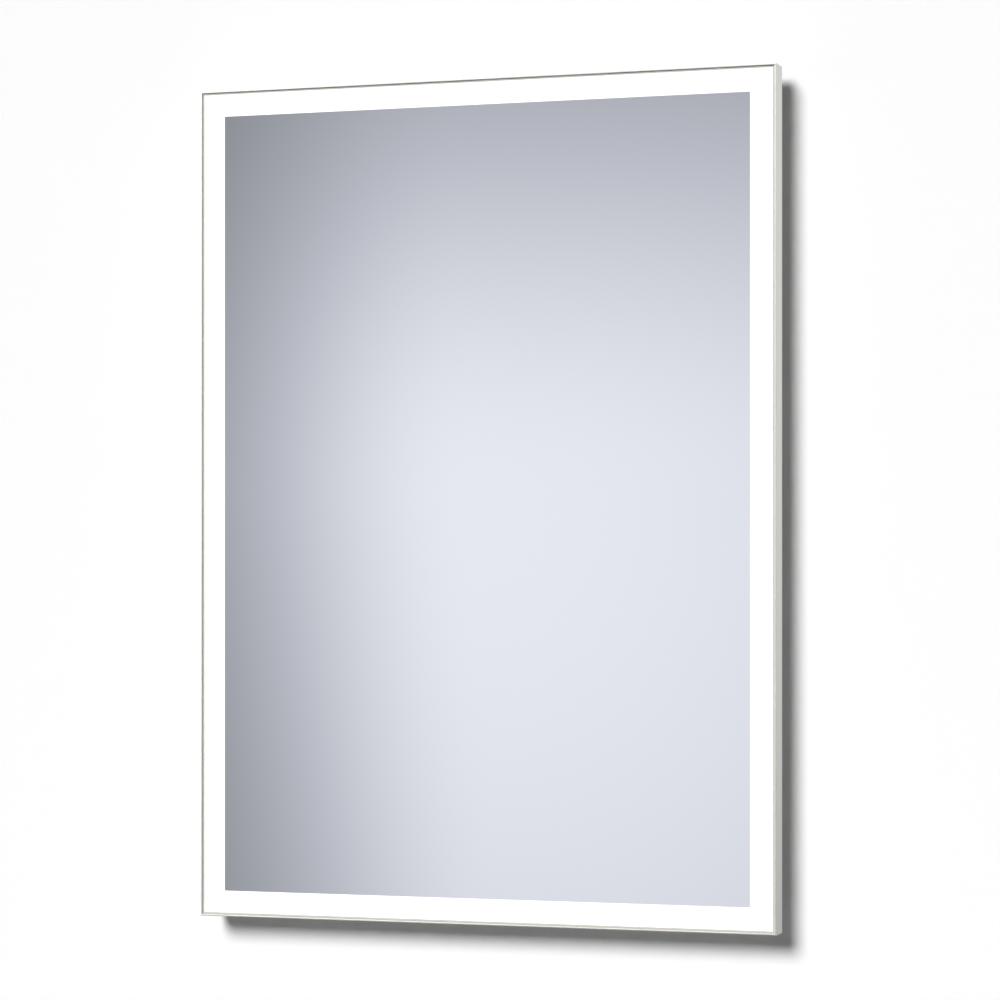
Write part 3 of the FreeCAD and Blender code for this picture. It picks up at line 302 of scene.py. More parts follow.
key = bpy.data.objects.new("key", bpy.data.lights.new("key", "SUN"))
bpy.context.scene.collection.objects.link(key)
key.data.energy = KEY_LEVEL
key.data.angle = math.radians(KEY_SPREAD)
key.rotation_euler = Vector(KEY_AIM).to_track_quat("-Z", "Y").to_euler()
key.visible_glossy = False

for side in (-1, 1):
    box = bpy.data.objects.new("back_box", bpy.data.lights.new("back_box", "AREA"))
    bpy.context.scene.collection.objects.link(box)
    box.data.size = BACK_BOX_SIZE
    box.data.energy = BACK_BOX_POWER
    box.data.cycles.max_bounces = 0
    box.visible_glossy = False
    box.location = (side * BACK_BOX_ASIDE, BACK_BOX_BEHIND, BACK_BOX_UP)
    aim = Vector((0, 0, middle_height)) - box.location
    box.rotation_euler = aim.to_track_quat("-Z", "Y").to_euler()

# ------------------------------------------------------------------ room
# What polished and satin pieces reflect: a bright cloth screen in front that fades all round. Beyond
# it are a window on the left, the floor, a lit ceiling, and pale walls on the right and behind. Places
# and fades are steps sideways or upwards for one step away from the wall.

SCREEN_MIDDLE = (-0.332, 0.028)
SCREEN_LEAN = -0.106
SCREEN_FADE_LEFT = 0.083
SCREEN_FADE_RIGHT = 0.321
SCREEN_FADE_UP = 0.139
SCREEN_FADE_DOWN = 0.356
SCREEN_TONES = (
    (0.0, (0.205, 0.215, 0.232)),
    (0.5, (0.530, 0.536, 0.600)),
    (1.0, (0.865, 0.873, 0.940)),
)
LEFT_TONE = (3.0, 2.95, 2.85)
FLOOR_TONE = (0.42, 0.42, 0.41)
CEILING_TONE = (2.4, 2.36, 2.3)
RIGHT_TONE = (0.9, 0.9, 0.87)
BEHIND_TONE = (0.96, 0.96, 0.935)
BEHIND_LOW_TONE = (0.28, 0.28, 0.272)
LEFT_EDGE = (-0.6, -0.45)
FLOOR_EDGE = (-0.28, -0.13)
CEILING_EDGE = (0.17, 0.35)
RIGHT_EDGE = (0.2, 0.8)
BEHIND_EDGE = (0.0, 0.2)
BEHIND_RISE = (-0.3, 0.06)
LEAST_AWAY = 0.05

world = bpy.data.worlds.new("room")
bpy.context.scene.world = world
room = Finish("room", world)
across, depth, up = room.axes(room.node("ShaderNodeTexCoord", output="Generated"))
away = (0 - depth).largest(LEAST_AWAY)
sideways = across / away
upwards = up / away
above = upwards - SCREEN_MIDDLE[1]
aside = sideways - SCREEN_MIDDLE[0] - above.smallest(0) * SCREEN_LEAN
left = aside.smallest(0) / SCREEN_FADE_LEFT
right = aside.largest(0) / SCREEN_FADE_RIGHT
high = above.largest(0) / SCREEN_FADE_UP
low = above.smallest(0) / SCREEN_FADE_DOWN
far = left * left + right * right + high * high + low * low
glow = room.node("ShaderNodeMath", {"operation": "POWER"}, math.e, 0 - far)
reflected = room.node("ShaderNodeValToRGB", {"stops": SCREEN_TONES}, glow)
behind = room.mix(up.between(*BEHIND_RISE), BEHIND_LOW_TONE, BEHIND_TONE)
for share, beyond in (
    (1 - sideways.between(*LEFT_EDGE), LEFT_TONE),
    (1 - upwards.between(*FLOOR_EDGE), FLOOR_TONE),
    (upwards.between(*CEILING_EDGE), CEILING_TONE),
    (sideways.between(*RIGHT_EDGE), RIGHT_TONE),
    (depth.between(*BEHIND_EDGE), behind),
):
    reflected = room.mix(share, reflected, beyond)
ray = room.node("ShaderNodeLightPath", output="Is Glossy Ray")
seen = room.node("ShaderNodeLightPath", output="Is Camera Ray")
tone = room.mix(ray, (FILL_LEVEL,) * 3, reflected)
tone = room.mix(seen, tone, (1, 1, 1))
room.close(room.node("ShaderNodeBackground", None, tone, 1.0))

# ------------------------------------------------------------------ frame extrusions
# Four mitred lengths of satin anodised aluminium. The outer face has two shallow flutes from the
# die, and the grain of the extrusion runs along each length.

FRAME_DEPTH = 21.0 * MM
FRAME_WALL = 1.4 * MM
FRAME_RIB = 1.0 * MM
FLANGE_REACH = 15.4 * MM
LEDGE_REACH = 4.5 * MM
LEDGE_DEEP = 7.0 * MM
CHANNEL_DEEP = 17.6 * MM
CHANNEL_LIP = 2.0 * MM
FLANGE_DEEP = 19.8 * MM
LIP_ROUND = 0.35 * MM
FLUTE_STARTS = (2.2 * MM, 11.2 * MM)
FLUTE_WIDE = 7.6 * MM
FLUTE_DEEP = 0.16 * MM
FLUTE_STEPS = 6
CUT_NEAR = 0.0001 * MM

HALF = (WHOLE_HIGH - WHOLE_LOW) / 2
MIDDLE = Vector((0, 0, middle_height))
SIDE_TURNS = {"top": 0, "right": 90, "bottom": 180, "left": 270}


def reach_of(side):
    """How long one side is, and how far out from the middle it lies, both halved."""
    return (HALF.x, HALF.z) if SIDE_TURNS[side] % 180 == 0 else (HALF.z, HALF.x)


def fluted_face():
    """Points down the outer face, from the front to the back, as depth and inset."""
    points = [(0.0, 0.0)]
    for start in FLUTE_STARTS:
        for i in range(FLUTE_STEPS + 1):
            share = i / FLUTE_STEPS
            points.append((start + share * FLUTE_WIDE, FLUTE_DEEP * math.sin(math.pi * share)))
    points.append((FRAME_DEPTH, 0.0))
    return points


def member_section():
    """The whole section of the extrusion, as depth from the front and inset from the outside."""
    inner = FLANGE_REACH - FRAME_RIB
    lip = CHANNEL_DEEP - FRAME_RIB
    return fluted_face() + [
        (FRAME_DEPTH, FLANGE_REACH),
        (lip, FLANGE_REACH),
        (lip, inner - CHANNEL_LIP),
        (CHANNEL_DEEP, inner - CHANNEL_LIP),
        (CHANNEL_DEEP, inner),
        (FLANGE_DEEP, inner),
        (FLANGE_DEEP, FRAME_WALL),
        (CHANNEL_DEEP, FRAME_WALL),
        (CHANNEL_DEEP, FRAME_WALL + CHANNEL_LIP),
        (lip, FRAME_WALL + CHANNEL_LIP),
        (lip, FRAME_WALL),
        (LEDGE_DEEP + FRAME_RIB, FRAME_WALL),
        (LEDGE_DEEP + FRAME_RIB, LEDGE_REACH),
        (LEDGE_DEEP, LEDGE_REACH),
        (LEDGE_DEEP, FRAME_WALL),
        (0.0, FRAME_WALL),
    ]


def mitred_length(side, section, rounded, radius, front):
    """Draws a section along one side of the mirror and cuts both its ends at 45 degrees."""
    along, out = reach_of(side)
    mesh = bmesh.new()
    ring = [mesh.verts.new((-along, front + deep, out - inset)) for deep, inset in section]
    mesh.faces.new(ring)
    corners = [ring[i] for i in rounded]
    bmesh.ops.bevel(
        mesh, geom=corners, offset=radius, segments=3, profile=0.5, affect="VERTICES", material=-1
    )
    drawn = bmesh.ops.extrude_face_region(mesh, geom=mesh.faces[:])
    far_end = [item for item in drawn["geom"] if isinstance(item, bmesh.types.BMVert)]
    bmesh.ops.translate(mesh, verts=far_end, vec=(2 * along, 0, 0))
    for end in (-1, 1):
        everything = mesh.verts[:] + mesh.edges[:] + mesh.faces[:]
        bmesh.ops.bisect_plane(
            mesh, geom=everything, dist=CUT_NEAR, plane_co=(end * along, 0, out),
            plane_no=(end, 0, -1), clear_outer=True,
        )
        open_edges = [edge for edge in mesh.edges if edge.is_boundary]
        bmesh.ops.contextual_create(mesh, geom=open_edges)
    turn = Matrix.Rotation(math.radians(SIDE_TURNS[side]), 3, "Y")
    bmesh.ops.rotate(mesh, verts=mesh.verts, matrix=turn)
    bmesh.ops.translate(mesh, verts=mesh.verts, vec=MIDDLE)
    bmesh.ops.recalc_face_normals(mesh, faces=mesh.faces)
    return mesh


def smooth(piece, degrees=35):
    """Shades rounded faces smoothly, and keeps corners sharp and wide faces flat."""
    piece.data.polygons.foreach_set("use_smooth", [True] * len(piece.data.polygons))
    piece.data.set_sharp_from_angle(angle=math.radians(degrees))
    flat = piece.modifiers.new("flat", "WEIGHTED_NORMAL")
    flat.keep_sharp = True


def hand_over(piece, material_slot, *nodes):
    """Lets a finished piece stand for its solids, on the body that they ride on."""
    body = frame["nodes"][nodes[0]]["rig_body"]
    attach(piece, body)
    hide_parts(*nodes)


ALUMINIUM = (0.72, 0.72, 0.70)
ALUMINIUM_WORN = (0.62, 0.62, 0.60)


def satin_aluminium(name, stretch):
    """Anodised satin: fine die lines along the length, and soft clouding."""
    finish = Finish(name)
    lines = finish.noise(finish.place(stretch), 1.0, 3.0, 0.6)
    clouds = finish.noise(finish.place(), 9.0, 2.0)
    colour = finish.mix(lines * 0.6 + clouds * 0.4, ALUMINIUM_WORN, ALUMINIUM)
    rough = 0.27 + lines * 0.12 + clouds * 0.06
    return finish.surface(colour, rough, 1.0, Normal=finish.bump(lines, 0.012 * MM))


LINES_ALONG, LINES_ACROSS = 14.0, 2600.0
ALONG_X = (LINES_ALONG, LINES_ACROSS, LINES_ACROSS)
ALONG_Z = (LINES_ACROSS, LINES_ACROSS, LINES_ALONG)
satin_across = satin_aluminium("satin_aluminium_across", ALONG_X)
satin_upright = satin_aluminium("satin_aluminium_upright", ALONG_Z)
section = member_section()
outer_back = len(fluted_face()) - 1
rounded = [0, outer_back, outer_back + 1, len(section) - 1]
for side in SIDE_TURNS:
    mesh = mitred_length(side, section, rounded, LIP_ROUND, WHOLE_LOW.y)
    satin = satin_across if side in ("top", "bottom") else satin_upright
    member = new_piece(f"extrusion_{side}", mesh, satin)
    smooth(member)
    hand_over(member, "satin_aluminium", f"frame_{side}")

# ------------------------------------------------------------------ corner keys
# Pressed zinc-plated L-plates that slide into the channels, and the black grub screws that lock
# them through the rear flange.

MERGE_NEAR = 0.001 * MM
FLAT_WITHIN = 1
SHARP_FROM = 40


def eased(node, radius, segments):
    """A copy of a solid's mesh, joined up, with its sharp edges rounded off."""
    mesh = bmesh.new()
    mesh.from_mesh(frame["nodes"][node].data)
    bmesh.ops.remove_doubles(mesh, verts=mesh.verts, dist=MERGE_NEAR)
    bmesh.ops.recalc_face_normals(mesh, faces=mesh.faces)
    bmesh.ops.dissolve_limit(
        mesh, angle_limit=math.radians(FLAT_WITHIN), verts=mesh.verts, edges=mesh.edges
    )
    sharp = [
        edge
        for edge in mesh.edges
        if edge.is_manifold and edge.calc_face_angle() > math.radians(SHARP_FROM)
    ]
    bmesh.ops.bevel(
        mesh, geom=sharp, offset=radius, segments=segments, profile=0.5, affect="EDGES",
        clamp_overlap=True, material=-1,
    )
    return mesh


def eased_piece(name, node, material_slot, material, radius, segments=2):
    piece = new_piece(name, eased(node, radius, segments), material)
    smooth(piece)
    hand_over(piece, material_slot, node)


def dress(material, *names):
    """Gives a finish to pieces whose shape is already right."""
    for name in names:
        data = frame["nodes"][name].data
        data.materials.clear()
        data.materials.append(material)


ZINC_LIGHT = (0.66, 0.68, 0.70)
ZINC_DARK = (0.50, 0.53, 0.57)


def zinc_steel():
    """Passivated zinc plate: cool spangle, cloudy patches and a rolled grain."""
    finish = Finish("zinc_steel")
    point = finish.place()
    spangle = finish.node(
        "ShaderNodeTexVoronoi", {"feature": "SMOOTH_F1"}, Vector=point, Scale=260.0, Smoothness=0.6
    )
    clouds = finish.noise(point, 34.0, 4.0, 0.6)
    grain = finish.noise(finish.place((900.0, 900.0, 60.0)), 1.0, 2.0)
    colour = finish.mix(spangle * 0.5 + clouds * 0.5, ZINC_LIGHT, ZINC_DARK)
    rough = 0.26 + clouds * 0.16 + grain * 0.06
    return finish.surface(colour, rough, 1.0, Normal=finish.bump(grain, 0.008 * MM))


zinc = zinc_steel()
eased_piece("mitre_keys", "corner_keys", "zinc_steel", zinc, 0.25 * MM)


def black_oxide():
    finish = Finish("black_oxide")
    worn = finish.noise(finish.place(), 700.0, 3.0)
    return finish.surface(finish.mix(worn, (0.03, 0.03, 0.032), (0.1, 0.1, 0.1)), 0.42, 0.4)


dress(black_oxide(), "corner_key_screws")

# ------------------------------------------------------------------ gasket
# Smooth warm grey silicone, pressed between the wall of the frame and the edge of the glass, with a
# slightly domed front.

GASKET_WIDE = 1.5 * MM
GASKET_CROWN = 0.25 * MM
GASKET_STEPS = 6


def silicone():
    finish = Finish("silicone")
    mottle = finish.noise(finish.place(), 160.0, 2.0)
    colour = finish.mix(mottle, (0.55, 0.525, 0.49), (0.61, 0.58, 0.54))
    return finish.surface(colour, 0.38 + mottle * 0.1, Specular_IOR_Level=0.4)


soft_grey = silicone()
for side in SIDE_TURNS:
    low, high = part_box(f"gasket_{side}")
    section = [(high.y - low.y, FRAME_WALL), (high.y - low.y, FRAME_WALL + GASKET_WIDE)]
    for i in range(GASKET_STEPS + 1):
        share = 1 - i / GASKET_STEPS
        rise = GASKET_CROWN * (1 - math.sin(math.pi * share))
        section.append((rise, FRAME_WALL + share * GASKET_WIDE))
    mesh = mitred_length(side, section, [], 0, low.y)
    strip = new_piece(f"gasket_bead_{side}", mesh, soft_grey)
    smooth(strip)
    hand_over(strip, "silicone_grey", f"gasket_{side}")

# ------------------------------------------------------------------ glass
# One sheet of float glass, 4 mm thick, with ground edges. It is silvered behind its middle. Round
# that the silver is sandblasted away. The light of the strips behind is painted on the frosting and
# the ground edge as their own glow.

RIM_WIDE = FRAME_WALL + GASKET_WIDE
EVEN_FROM = 5.5 * MM
# painted shade and painted pools of light, laid on the band's glow near its outer edge
LEDGE_PAINTED_SHADE = 0.05
LED_PAINTED_POOLS = 0.04
BAND_WIDE = 18.9 * MM
ARRIS = 0.4 * MM
LED_PITCH = 16.67 * MM


def silvering():
    """Deep silver behind clear glass, with the faint green of float glass."""
    finish = Finish("silvering")
    haze = finish.noise(finish.place(), 5.0, 2.0)
    rough = 0.012 + haze * 0.012
    return finish.surface((0.905, 0.925, 0.925), rough, 1.0)


def frosting():
    """Sandblasted glass over the light strips, under a polished face. The strips' light is painted
    on as the glass's own white glow. It is dimmed by painted shade near the outer edge, where painted
    pools of light also ripple at the LED pitch.
    """
    finish = Finish("frosting")
    across, depth, up = finish.axes(finish.place())
    up = up - middle_height
    edge = (HALF.x - across.size()).smallest(HALF.z - up.size())
    # the outer edge of the band, where the painted shade and painted pools of light lie
    ledge_shade_band = 1 - edge.between(RIM_WIDE, EVEN_FROM)
    beat = (across + up) * (2 * math.pi / LED_PITCH)
    painted_led_pools = finish.node("ShaderNodeMath", {"operation": "COSINE"}, beat) * 0.5 + 0.5
    grit = finish.noise(finish.place(), 2400.0, 2.0)
    # painted shade: the glow dims towards the outer edge where the ledge would shade it, and there
    # painted pools of light ripple at the LED pitch
    level = 1.0 - ledge_shade_band * LEDGE_PAINTED_SHADE - ledge_shade_band * painted_led_pools * LED_PAINTED_POOLS
    glow = finish.mix(level, (0, 0, 0), (1.0, 1.0, 1.0))
    tone = finish.mix(grit, (0.3, 0.3, 0.3), (0.36, 0.36, 0.36))
    return finish.surface(
        tone, 0.55, Emission_Color=glow, Emission_Strength=1.0, Coat_Weight=1.0,
        Coat_Roughness=0.02,
    )


def ground_edge():
    finish = Finish("ground_edge")
    grit = finish.noise(finish.place(), 1800.0, 2.0)
    colour = finish.mix(grit, (0.62, 0.72, 0.68), (0.75, 0.82, 0.79))
    # painted glow: the ground edge is given a faint glow of its own for the strips' light that the
    # glass carries to it
    return finish.surface(
        colour, 0.35 + grit * 0.15, Emission_Color=(0.5, 0.55, 0.53), Emission_Strength=0.35
    )


low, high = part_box("mirror_glass")
mesh = bmesh.new()
bmesh.ops.create_cube(mesh, size=1.0)
bmesh.ops.scale(mesh, vec=high - low, verts=mesh.verts)
bmesh.ops.translate(mesh, vec=(low + high) / 2, verts=mesh.verts)
front = [face for face in mesh.faces if face.normal.y < -0.5]
rim = [edge for face in front for edge in face.edges]
bmesh.ops.bevel(
    mesh, geom=rim, offset=ARRIS, segments=2, profile=0.5, affect="EDGES", material=-1
)
face = min(mesh.faces, key=lambda each: each.calc_center_median().y)
# places in the list of the sheet's finishes, after its ground edge
FROSTED, SILVERED = 1, 2
face.material_index = SILVERED
ring = bmesh.ops.inset_region(
    mesh, faces=[face], thickness=BAND_WIDE - ARRIS, use_even_offset=True
)
for each in ring["faces"]:
    each.material_index = FROSTED
glass = new_piece("lit_glass", mesh, ground_edge(), frosting(), silvering())
hand_over(glass, "mirror_glass", "mirror_glass")

# ------------------------------------------------------------------ behind the glass
# Shatter-proof film with a printed heating film stuck to it, both inside the closed casing.


def safety_film():
    finish = Finish("safety_film")
    crinkle = finish.noise(finish.place(), 120.0, 3.0)
    return finish.surface(
        finish.mix(crinkle, (0.58, 0.60, 0.62), (0.66, 0.68, 0.70)), 0.5,
        Normal=finish.bump(crinkle, 0.02 * MM),
    )


TRACK_PITCH = 12.0 * MM
TRACK_EDGE = (0.55, 0.65)


def heating_film():
    """Amber film with a printed track that runs to and fro across it."""
    finish = Finish("heating_film")
    across, depth, up = finish.axes(finish.place())
    wave = finish.node("ShaderNodeMath", {"operation": "SINE"}, up * (2 * math.pi / TRACK_PITCH))
    track = wave.between(*TRACK_EDGE)
    colour = finish.mix(track, (0.78, 0.66, 0.36), (0.34, 0.32, 0.3))
    return finish.surface(colour, 0.4)


dress(safety_film(), "safety_film")
dress(heating_film(), "demister_pad")

# ------------------------------------------------------------------ light strips
# White printed strips with yellow phosphor emitters, on the inner face of the frame. Opal acrylic
# spreads their light, and folded white sheets throw it forwards.


def opal_acrylic():
    finish = Finish("opal_acrylic")
    milk = finish.noise(finish.place(), 60.0, 2.0)
    tone = finish.mix(milk, (0.9, 0.9, 0.89), (0.95, 0.95, 0.94))
    # painted glow: the acrylic is given the strips' light as its own emission
    return finish.surface(
        tone, 0.3, Emission_Color=(1, 1, 1), Emission_Strength=0.8, Coat_Weight=0.5
    )


def solder_mask(name, dark, light):
    finish = Finish(name)
    mottle = finish.noise(finish.place(), 900.0, 2.0)
    return finish.surface(finish.mix(mottle, dark, light), 0.3, Coat_Weight=0.4)


def phosphor():
    finish = Finish("phosphor")
    grain = finish.noise(finish.place(), 3000.0, 2.0)
    colour = finish.mix(grain, (0.9, 0.72, 0.2), (0.98, 0.86, 0.4))
    return finish.surface(colour, 0.35, Emission_Color=(1, 0.98, 0.92), Emission_Strength=1.0)


def white_sheet():
    finish = Finish("white_sheet")
    fibres = finish.noise(finish.place(), 500.0, 3.0)
    return finish.surface(
        finish.mix(fibres, (0.9, 0.9, 0.89), (0.95, 0.95, 0.94)), 0.6,
        Normal=finish.bump(fibres, 0.01 * MM),
    )


dress(opal_acrylic(), *[f"diffuser_{side}" for side in SIDE_TURNS])
strip_white = solder_mask("strip_white", (0.86, 0.86, 0.84), (0.93, 0.93, 0.91))
dress(strip_white, *[f"led_board_{side}" for side in SIDE_TURNS])
dress(phosphor(), "led_chips")
dress(white_sheet(), *[f"reflector_{side}" for side in SIDE_TURNS])

# ------------------------------------------------------------------ back panel
# Flat steel sheet with pressed beads that keep it stiff, and a fine-textured white powder coat.

BEAD_WIDE = 14.0 * MM
BEAD_STEP = 1.1 * MM
BEAD_CLEAR = 0.1
BEAD_RISES = (0.12 * MM, 0.3 * MM, 0.36 * MM, 0.3 * MM, 0.12 * MM)
# place across, lowest and highest
UPRIGHT_BEADS = ((-0.172, -0.44, 0.09), (0.172, -0.44, 0.09))
# height, left end and right end
LYING_BEADS = (
    (-0.075, -0.13, 0.13),
    (-0.13, -0.13, 0.13),
    (-0.36, -0.02, 0.13),
    (-0.43, -0.02, 0.13),
    (-0.5, -0.02, 0.13),
)


def powder_coat():
    """Baked powder: the fine peel of melted grains, and slightly duller patches."""
    finish = Finish("powder_coat")
    point = finish.place()
    peel = finish.noise(point, 1100.0, 2.0)
    patches = finish.noise(point, 7.0, 3.0)
    colour = finish.mix(patches, (0.82, 0.82, 0.80), (0.87, 0.87, 0.85))
    rough = 0.48 + peel * 0.12
    return finish.surface(colour, rough, Normal=finish.bump(peel, 0.03 * MM))


def mark_bead(mesh, across, up):
    """Cuts the sheet's faces along the borders of one bead."""
    for normal, places in (((1, 0, 0), across), ((0, 0, 1), up)):
        for place in places:
            point = Vector(normal) * place
            everything = mesh.verts[:] + mesh.edges[:] + mesh.faces[:]
            bmesh.ops.bisect_plane(mesh, geom=everything, plane_co=point, plane_no=normal)


def inside(face, across, up):
    at = face.calc_center_median()
    return across[0] < at.x < across[1] and up[0] < at.z < up[1] and face.normal.y > 0.5


low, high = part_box("back_panel")
mesh = bmesh.new()
bmesh.ops.create_cube(mesh, size=1.0)
bmesh.ops.scale(mesh, vec=high - low, verts=mesh.verts)
bmesh.ops.translate(mesh, vec=(low + high) / 2, verts=mesh.verts)
beads = [((x - BEAD_WIDE / 2, x + BEAD_WIDE / 2), (a, b)) for x, a, b in UPRIGHT_BEADS]
beads += [((a, b), (z - BEAD_WIDE / 2, z + BEAD_WIDE / 2)) for z, a, b in LYING_BEADS]
for bead in beads:
    mark_bead(mesh, *bead)
    pressed = [face for face in mesh.faces if inside(face, *bead)]
    for rise in BEAD_RISES:
        bmesh.ops.inset_region(
            mesh, faces=pressed, thickness=BEAD_STEP, depth=rise, use_even_offset=True
        )
    bmesh.ops.dissolve_limit(
        mesh, angle_limit=math.radians(BEAD_CLEAR), verts=mesh.verts, edges=mesh.edges
    )
powder = powder_coat()
panel = new_piece("pressed_panel", mesh, powder)
smooth(panel, degrees=50)
hand_over(panel, "white_powder_steel", "back_panel")

# ------------------------------------------------------------------ screws
# Bright zinc pan-head screws with a cross recess, round the panel and on the flanges of the box.

HEAD_HIGH = 2.0 * MM
SCREW_SHANK = 1.5 * MM
SLOT_HALF = 0.4 * MM
RECESS_LINES = (-1.8 * MM, -1.1 * MM, -SLOT_HALF, SLOT_HALF, 1.1 * MM, 1.8 * MM)
RECESS_DEEP = 1.2 * MM
HEAD_RINGS = (
    (2.35 * MM, 0.06 * MM),
    (2.9 * MM, 0.3 * MM),
    (3.15 * MM, 0.8 * MM),
    (3.2 * MM, 2.0 * MM),
)


def screw_head(mesh, at):
    """One domed head with its back on the wall side; at is the middle of its seat."""
    cells = len(RECESS_LINES) - 1
    made = bmesh.ops.create_grid(mesh, x_segments=cells, y_segments=cells, size=cells / 2)
    verts = made["verts"]
    for vert in verts:
        column, row = round(vert.co.x + cells / 2), round(vert.co.y + cells / 2)
        vert.co = (RECESS_LINES[column], 0, RECESS_LINES[row])
    faces = list(dict.fromkeys(face for vert in verts for face in vert.link_faces))
    cross = []
    for face in faces:
        centre = face.calc_center_median()
        if abs(centre.x) < SLOT_HALF or abs(centre.z) < SLOT_HALF:
            cross.append(face)
    border = [edge for face in faces for edge in face.edges if edge.is_boundary]
    for radius, drop in HEAD_RINGS:
        grown = bmesh.ops.extrude_edge_only(mesh, edges=border)["geom"]
        border = [item for item in grown if isinstance(item, bmesh.types.BMEdge)]
        ring = [item for item in grown if isinstance(item, bmesh.types.BMVert)]
        for vert in ring:
            flat = Vector((vert.co.x, 0, vert.co.z)).normalized() * radius
            vert.co = (flat.x, -drop, flat.z)
        verts += ring
    sunk = bmesh.ops.extrude_face_region(mesh, geom=cross)["geom"]
    floor_verts = [item for item in sunk if isinstance(item, bmesh.types.BMVert)]
    bmesh.ops.translate(mesh, verts=floor_verts, vec=(0, -RECESS_DEEP, 0))
    bmesh.ops.delete(mesh, geom=cross, context="FACES")
    verts += floor_verts
    bmesh.ops.translate(mesh, verts=verts, vec=Vector(at) + Vector((0, HEAD_HIGH, 0)))


def shank(mesh, at, radius, length):
    made = bmesh.ops.create_cone(
        mesh, cap_ends=True, segments=16, radius1=radius, radius2=radius, depth=length
    )
    turn = Matrix.Rotation(math.radians(90), 3, "X")
    bmesh.ops.rotate(mesh, verts=made["verts"], matrix=turn)
    bmesh.ops.translate(mesh, verts=made["verts"], vec=Vector(at) - Vector((0, length / 2, 0)))


def middles(node):
    """The middle of each separate solid of a node, with its lowest and highest corners."""
    mesh = bmesh.new()
    mesh.from_mesh(frame["nodes"][node].data)
    bmesh.ops.remove_doubles(mesh, verts=mesh.verts, dist=MERGE_NEAR)
    found, left = [], set(mesh.verts)
    while left:
        group, edge = set(), {left.pop()}
        while edge:
            group |= edge
            edge = {e.other_vert(v) for v in edge for e in v.link_edges} - group
        left -= group
        low = Vector([min(v.co[i] for v in group) for i in range(3)])
        high = Vector([max(v.co[i] for v in group) for i in range(3)])
        found.append(((low + high) / 2, low, high))
    mesh.free()
    return sorted(found, key=lambda each: (round(each[0].z, 4), round(each[0].x, 4)))


def bright_zinc():
    finish = Finish("bright_zinc")
    wear = finish.noise(finish.place(), 900.0, 3.0)
    colour = finish.mix(wear, (0.62, 0.64, 0.66), (0.76, 0.77, 0.78))
    return finish.surface(colour, 0.2 + wear * 0.14, 1.0)


bright = bright_zinc()
for node in ("panel_screws", "driver_box_screws"):
    mesh = bmesh.new()
    for middle, low, high in middles(node):
        seat = high.y - HEAD_HIGH
        screw_head(mesh, (middle.x, seat, middle.z))
        shank(mesh, (middle.x, seat, middle.z), SCREW_SHANK, seat - low.y)
    bmesh.ops.recalc_face_normals(mesh, faces=mesh.faces)
    screws = new_piece("pan_head_" + node, mesh, bright)
    smooth(screws)
    hand_over(screws, "bright_screws", node)

# ------------------------------------------------------------------ rail and hooks
# Folded zinc-plated steel. The rail is screwed to the wall through its two slots. The hooks are
# riveted to the panel and drop over the rail's lip.

for piece, node in (
    ("slotted_rail", "wall_rail"),
    ("hook_left", "hang_bracket_left"),
    ("hook_right", "hang_bracket_right"),
):
    eased_piece(piece, node, "zinc_steel", zinc, 0.35 * MM, segments=3)

RIVET_HIGH = 1.2 * MM
RIVET_SHANK = 2.0 * MM
RIVET_STEPS = 24
RIVET_PROFILE = (
    (0.0, 0.3), (0.9, 0.3), (0.9, 1.2), (1.3, 1.2), (2.4, 1.05), (3.2, 0.6), (3.6, 0.0)
)


def turned(mesh, profile, at):
    """Spins a profile of radius and height, in millimetres, about a line along the depth."""
    verts = [mesh.verts.new((radius * MM, high * MM, 0)) for radius, high in profile]
    edges = [mesh.edges.new(pair) for pair in zip(verts, verts[1:])]
    bmesh.ops.translate(mesh, verts=verts, vec=at)
    bmesh.ops.spin(
        mesh, geom=verts + edges, cent=at, axis=(0, 1, 0), angle=2 * math.pi,
        steps=RIVET_STEPS, use_merge=True,
    )


mesh = bmesh.new()
for middle, low, high in middles("hang_rivets"):
    seat = high.y - RIVET_HIGH
    turned(mesh, RIVET_PROFILE, (middle.x, seat, middle.z))
    shank(mesh, (middle.x, seat, middle.z), RIVET_SHANK, seat - low.y)
bmesh.ops.remove_doubles(mesh, verts=mesh.verts, dist=MERGE_NEAR)
bmesh.ops.recalc_face_normals(mesh, faces=mesh.faces)
rivets = new_piece("domed_rivets", mesh, bright)
smooth(rivets)
hand_over(rivets, "bright_screws", "hang_rivets")

# ------------------------------------------------------------------ bumpers
# Black rubber feet that keep the lower edge of the mirror off the wall.


def rubber():
    """Moulded rubber with a faint grey bloom."""
    finish = Finish("rubber")
    bloom = finish.noise(finish.place(), 220.0, 4.0)
    colour = finish.mix(bloom, (0.022, 0.022, 0.022), (0.05, 0.05, 0.05))
    return finish.surface(colour, 0.62 + bloom * 0.2, Normal=finish.bump(bloom, 0.02 * MM))


black_rubber = rubber()
eased_piece("bumpers", "wall_spacers", "bumper_rubber", black_rubber, 0.8 * MM, segments=4)

# ------------------------------------------------------------------ electrical box
# Drawn steel cover over the power supply and terminals, powder coated with the panel.

eased_piece("drawn_cover", "driver_box", "white_powder_steel", powder, 0.8 * MM, segments=3)

# ------------------------------------------------------------------ power supply and terminals
# A moulded tray and lid round a circuit board with its transformer, and a three-pole block.


def moulded(name, dark, light, rough=0.42, grain=0.02):
    """Moulded plastic: a fine spark-eroded texture and a faint flow pattern."""
    finish = Finish(name)
    point = finish.place()
    texture = finish.noise(point, 1700.0, 2.0)
    flow = finish.noise(point, 22.0, 2.0)
    colour = finish.mix(flow, dark, light)
    return finish.surface(
        colour, rough + texture * 0.12, Normal=finish.bump(texture, grain * MM)
    )


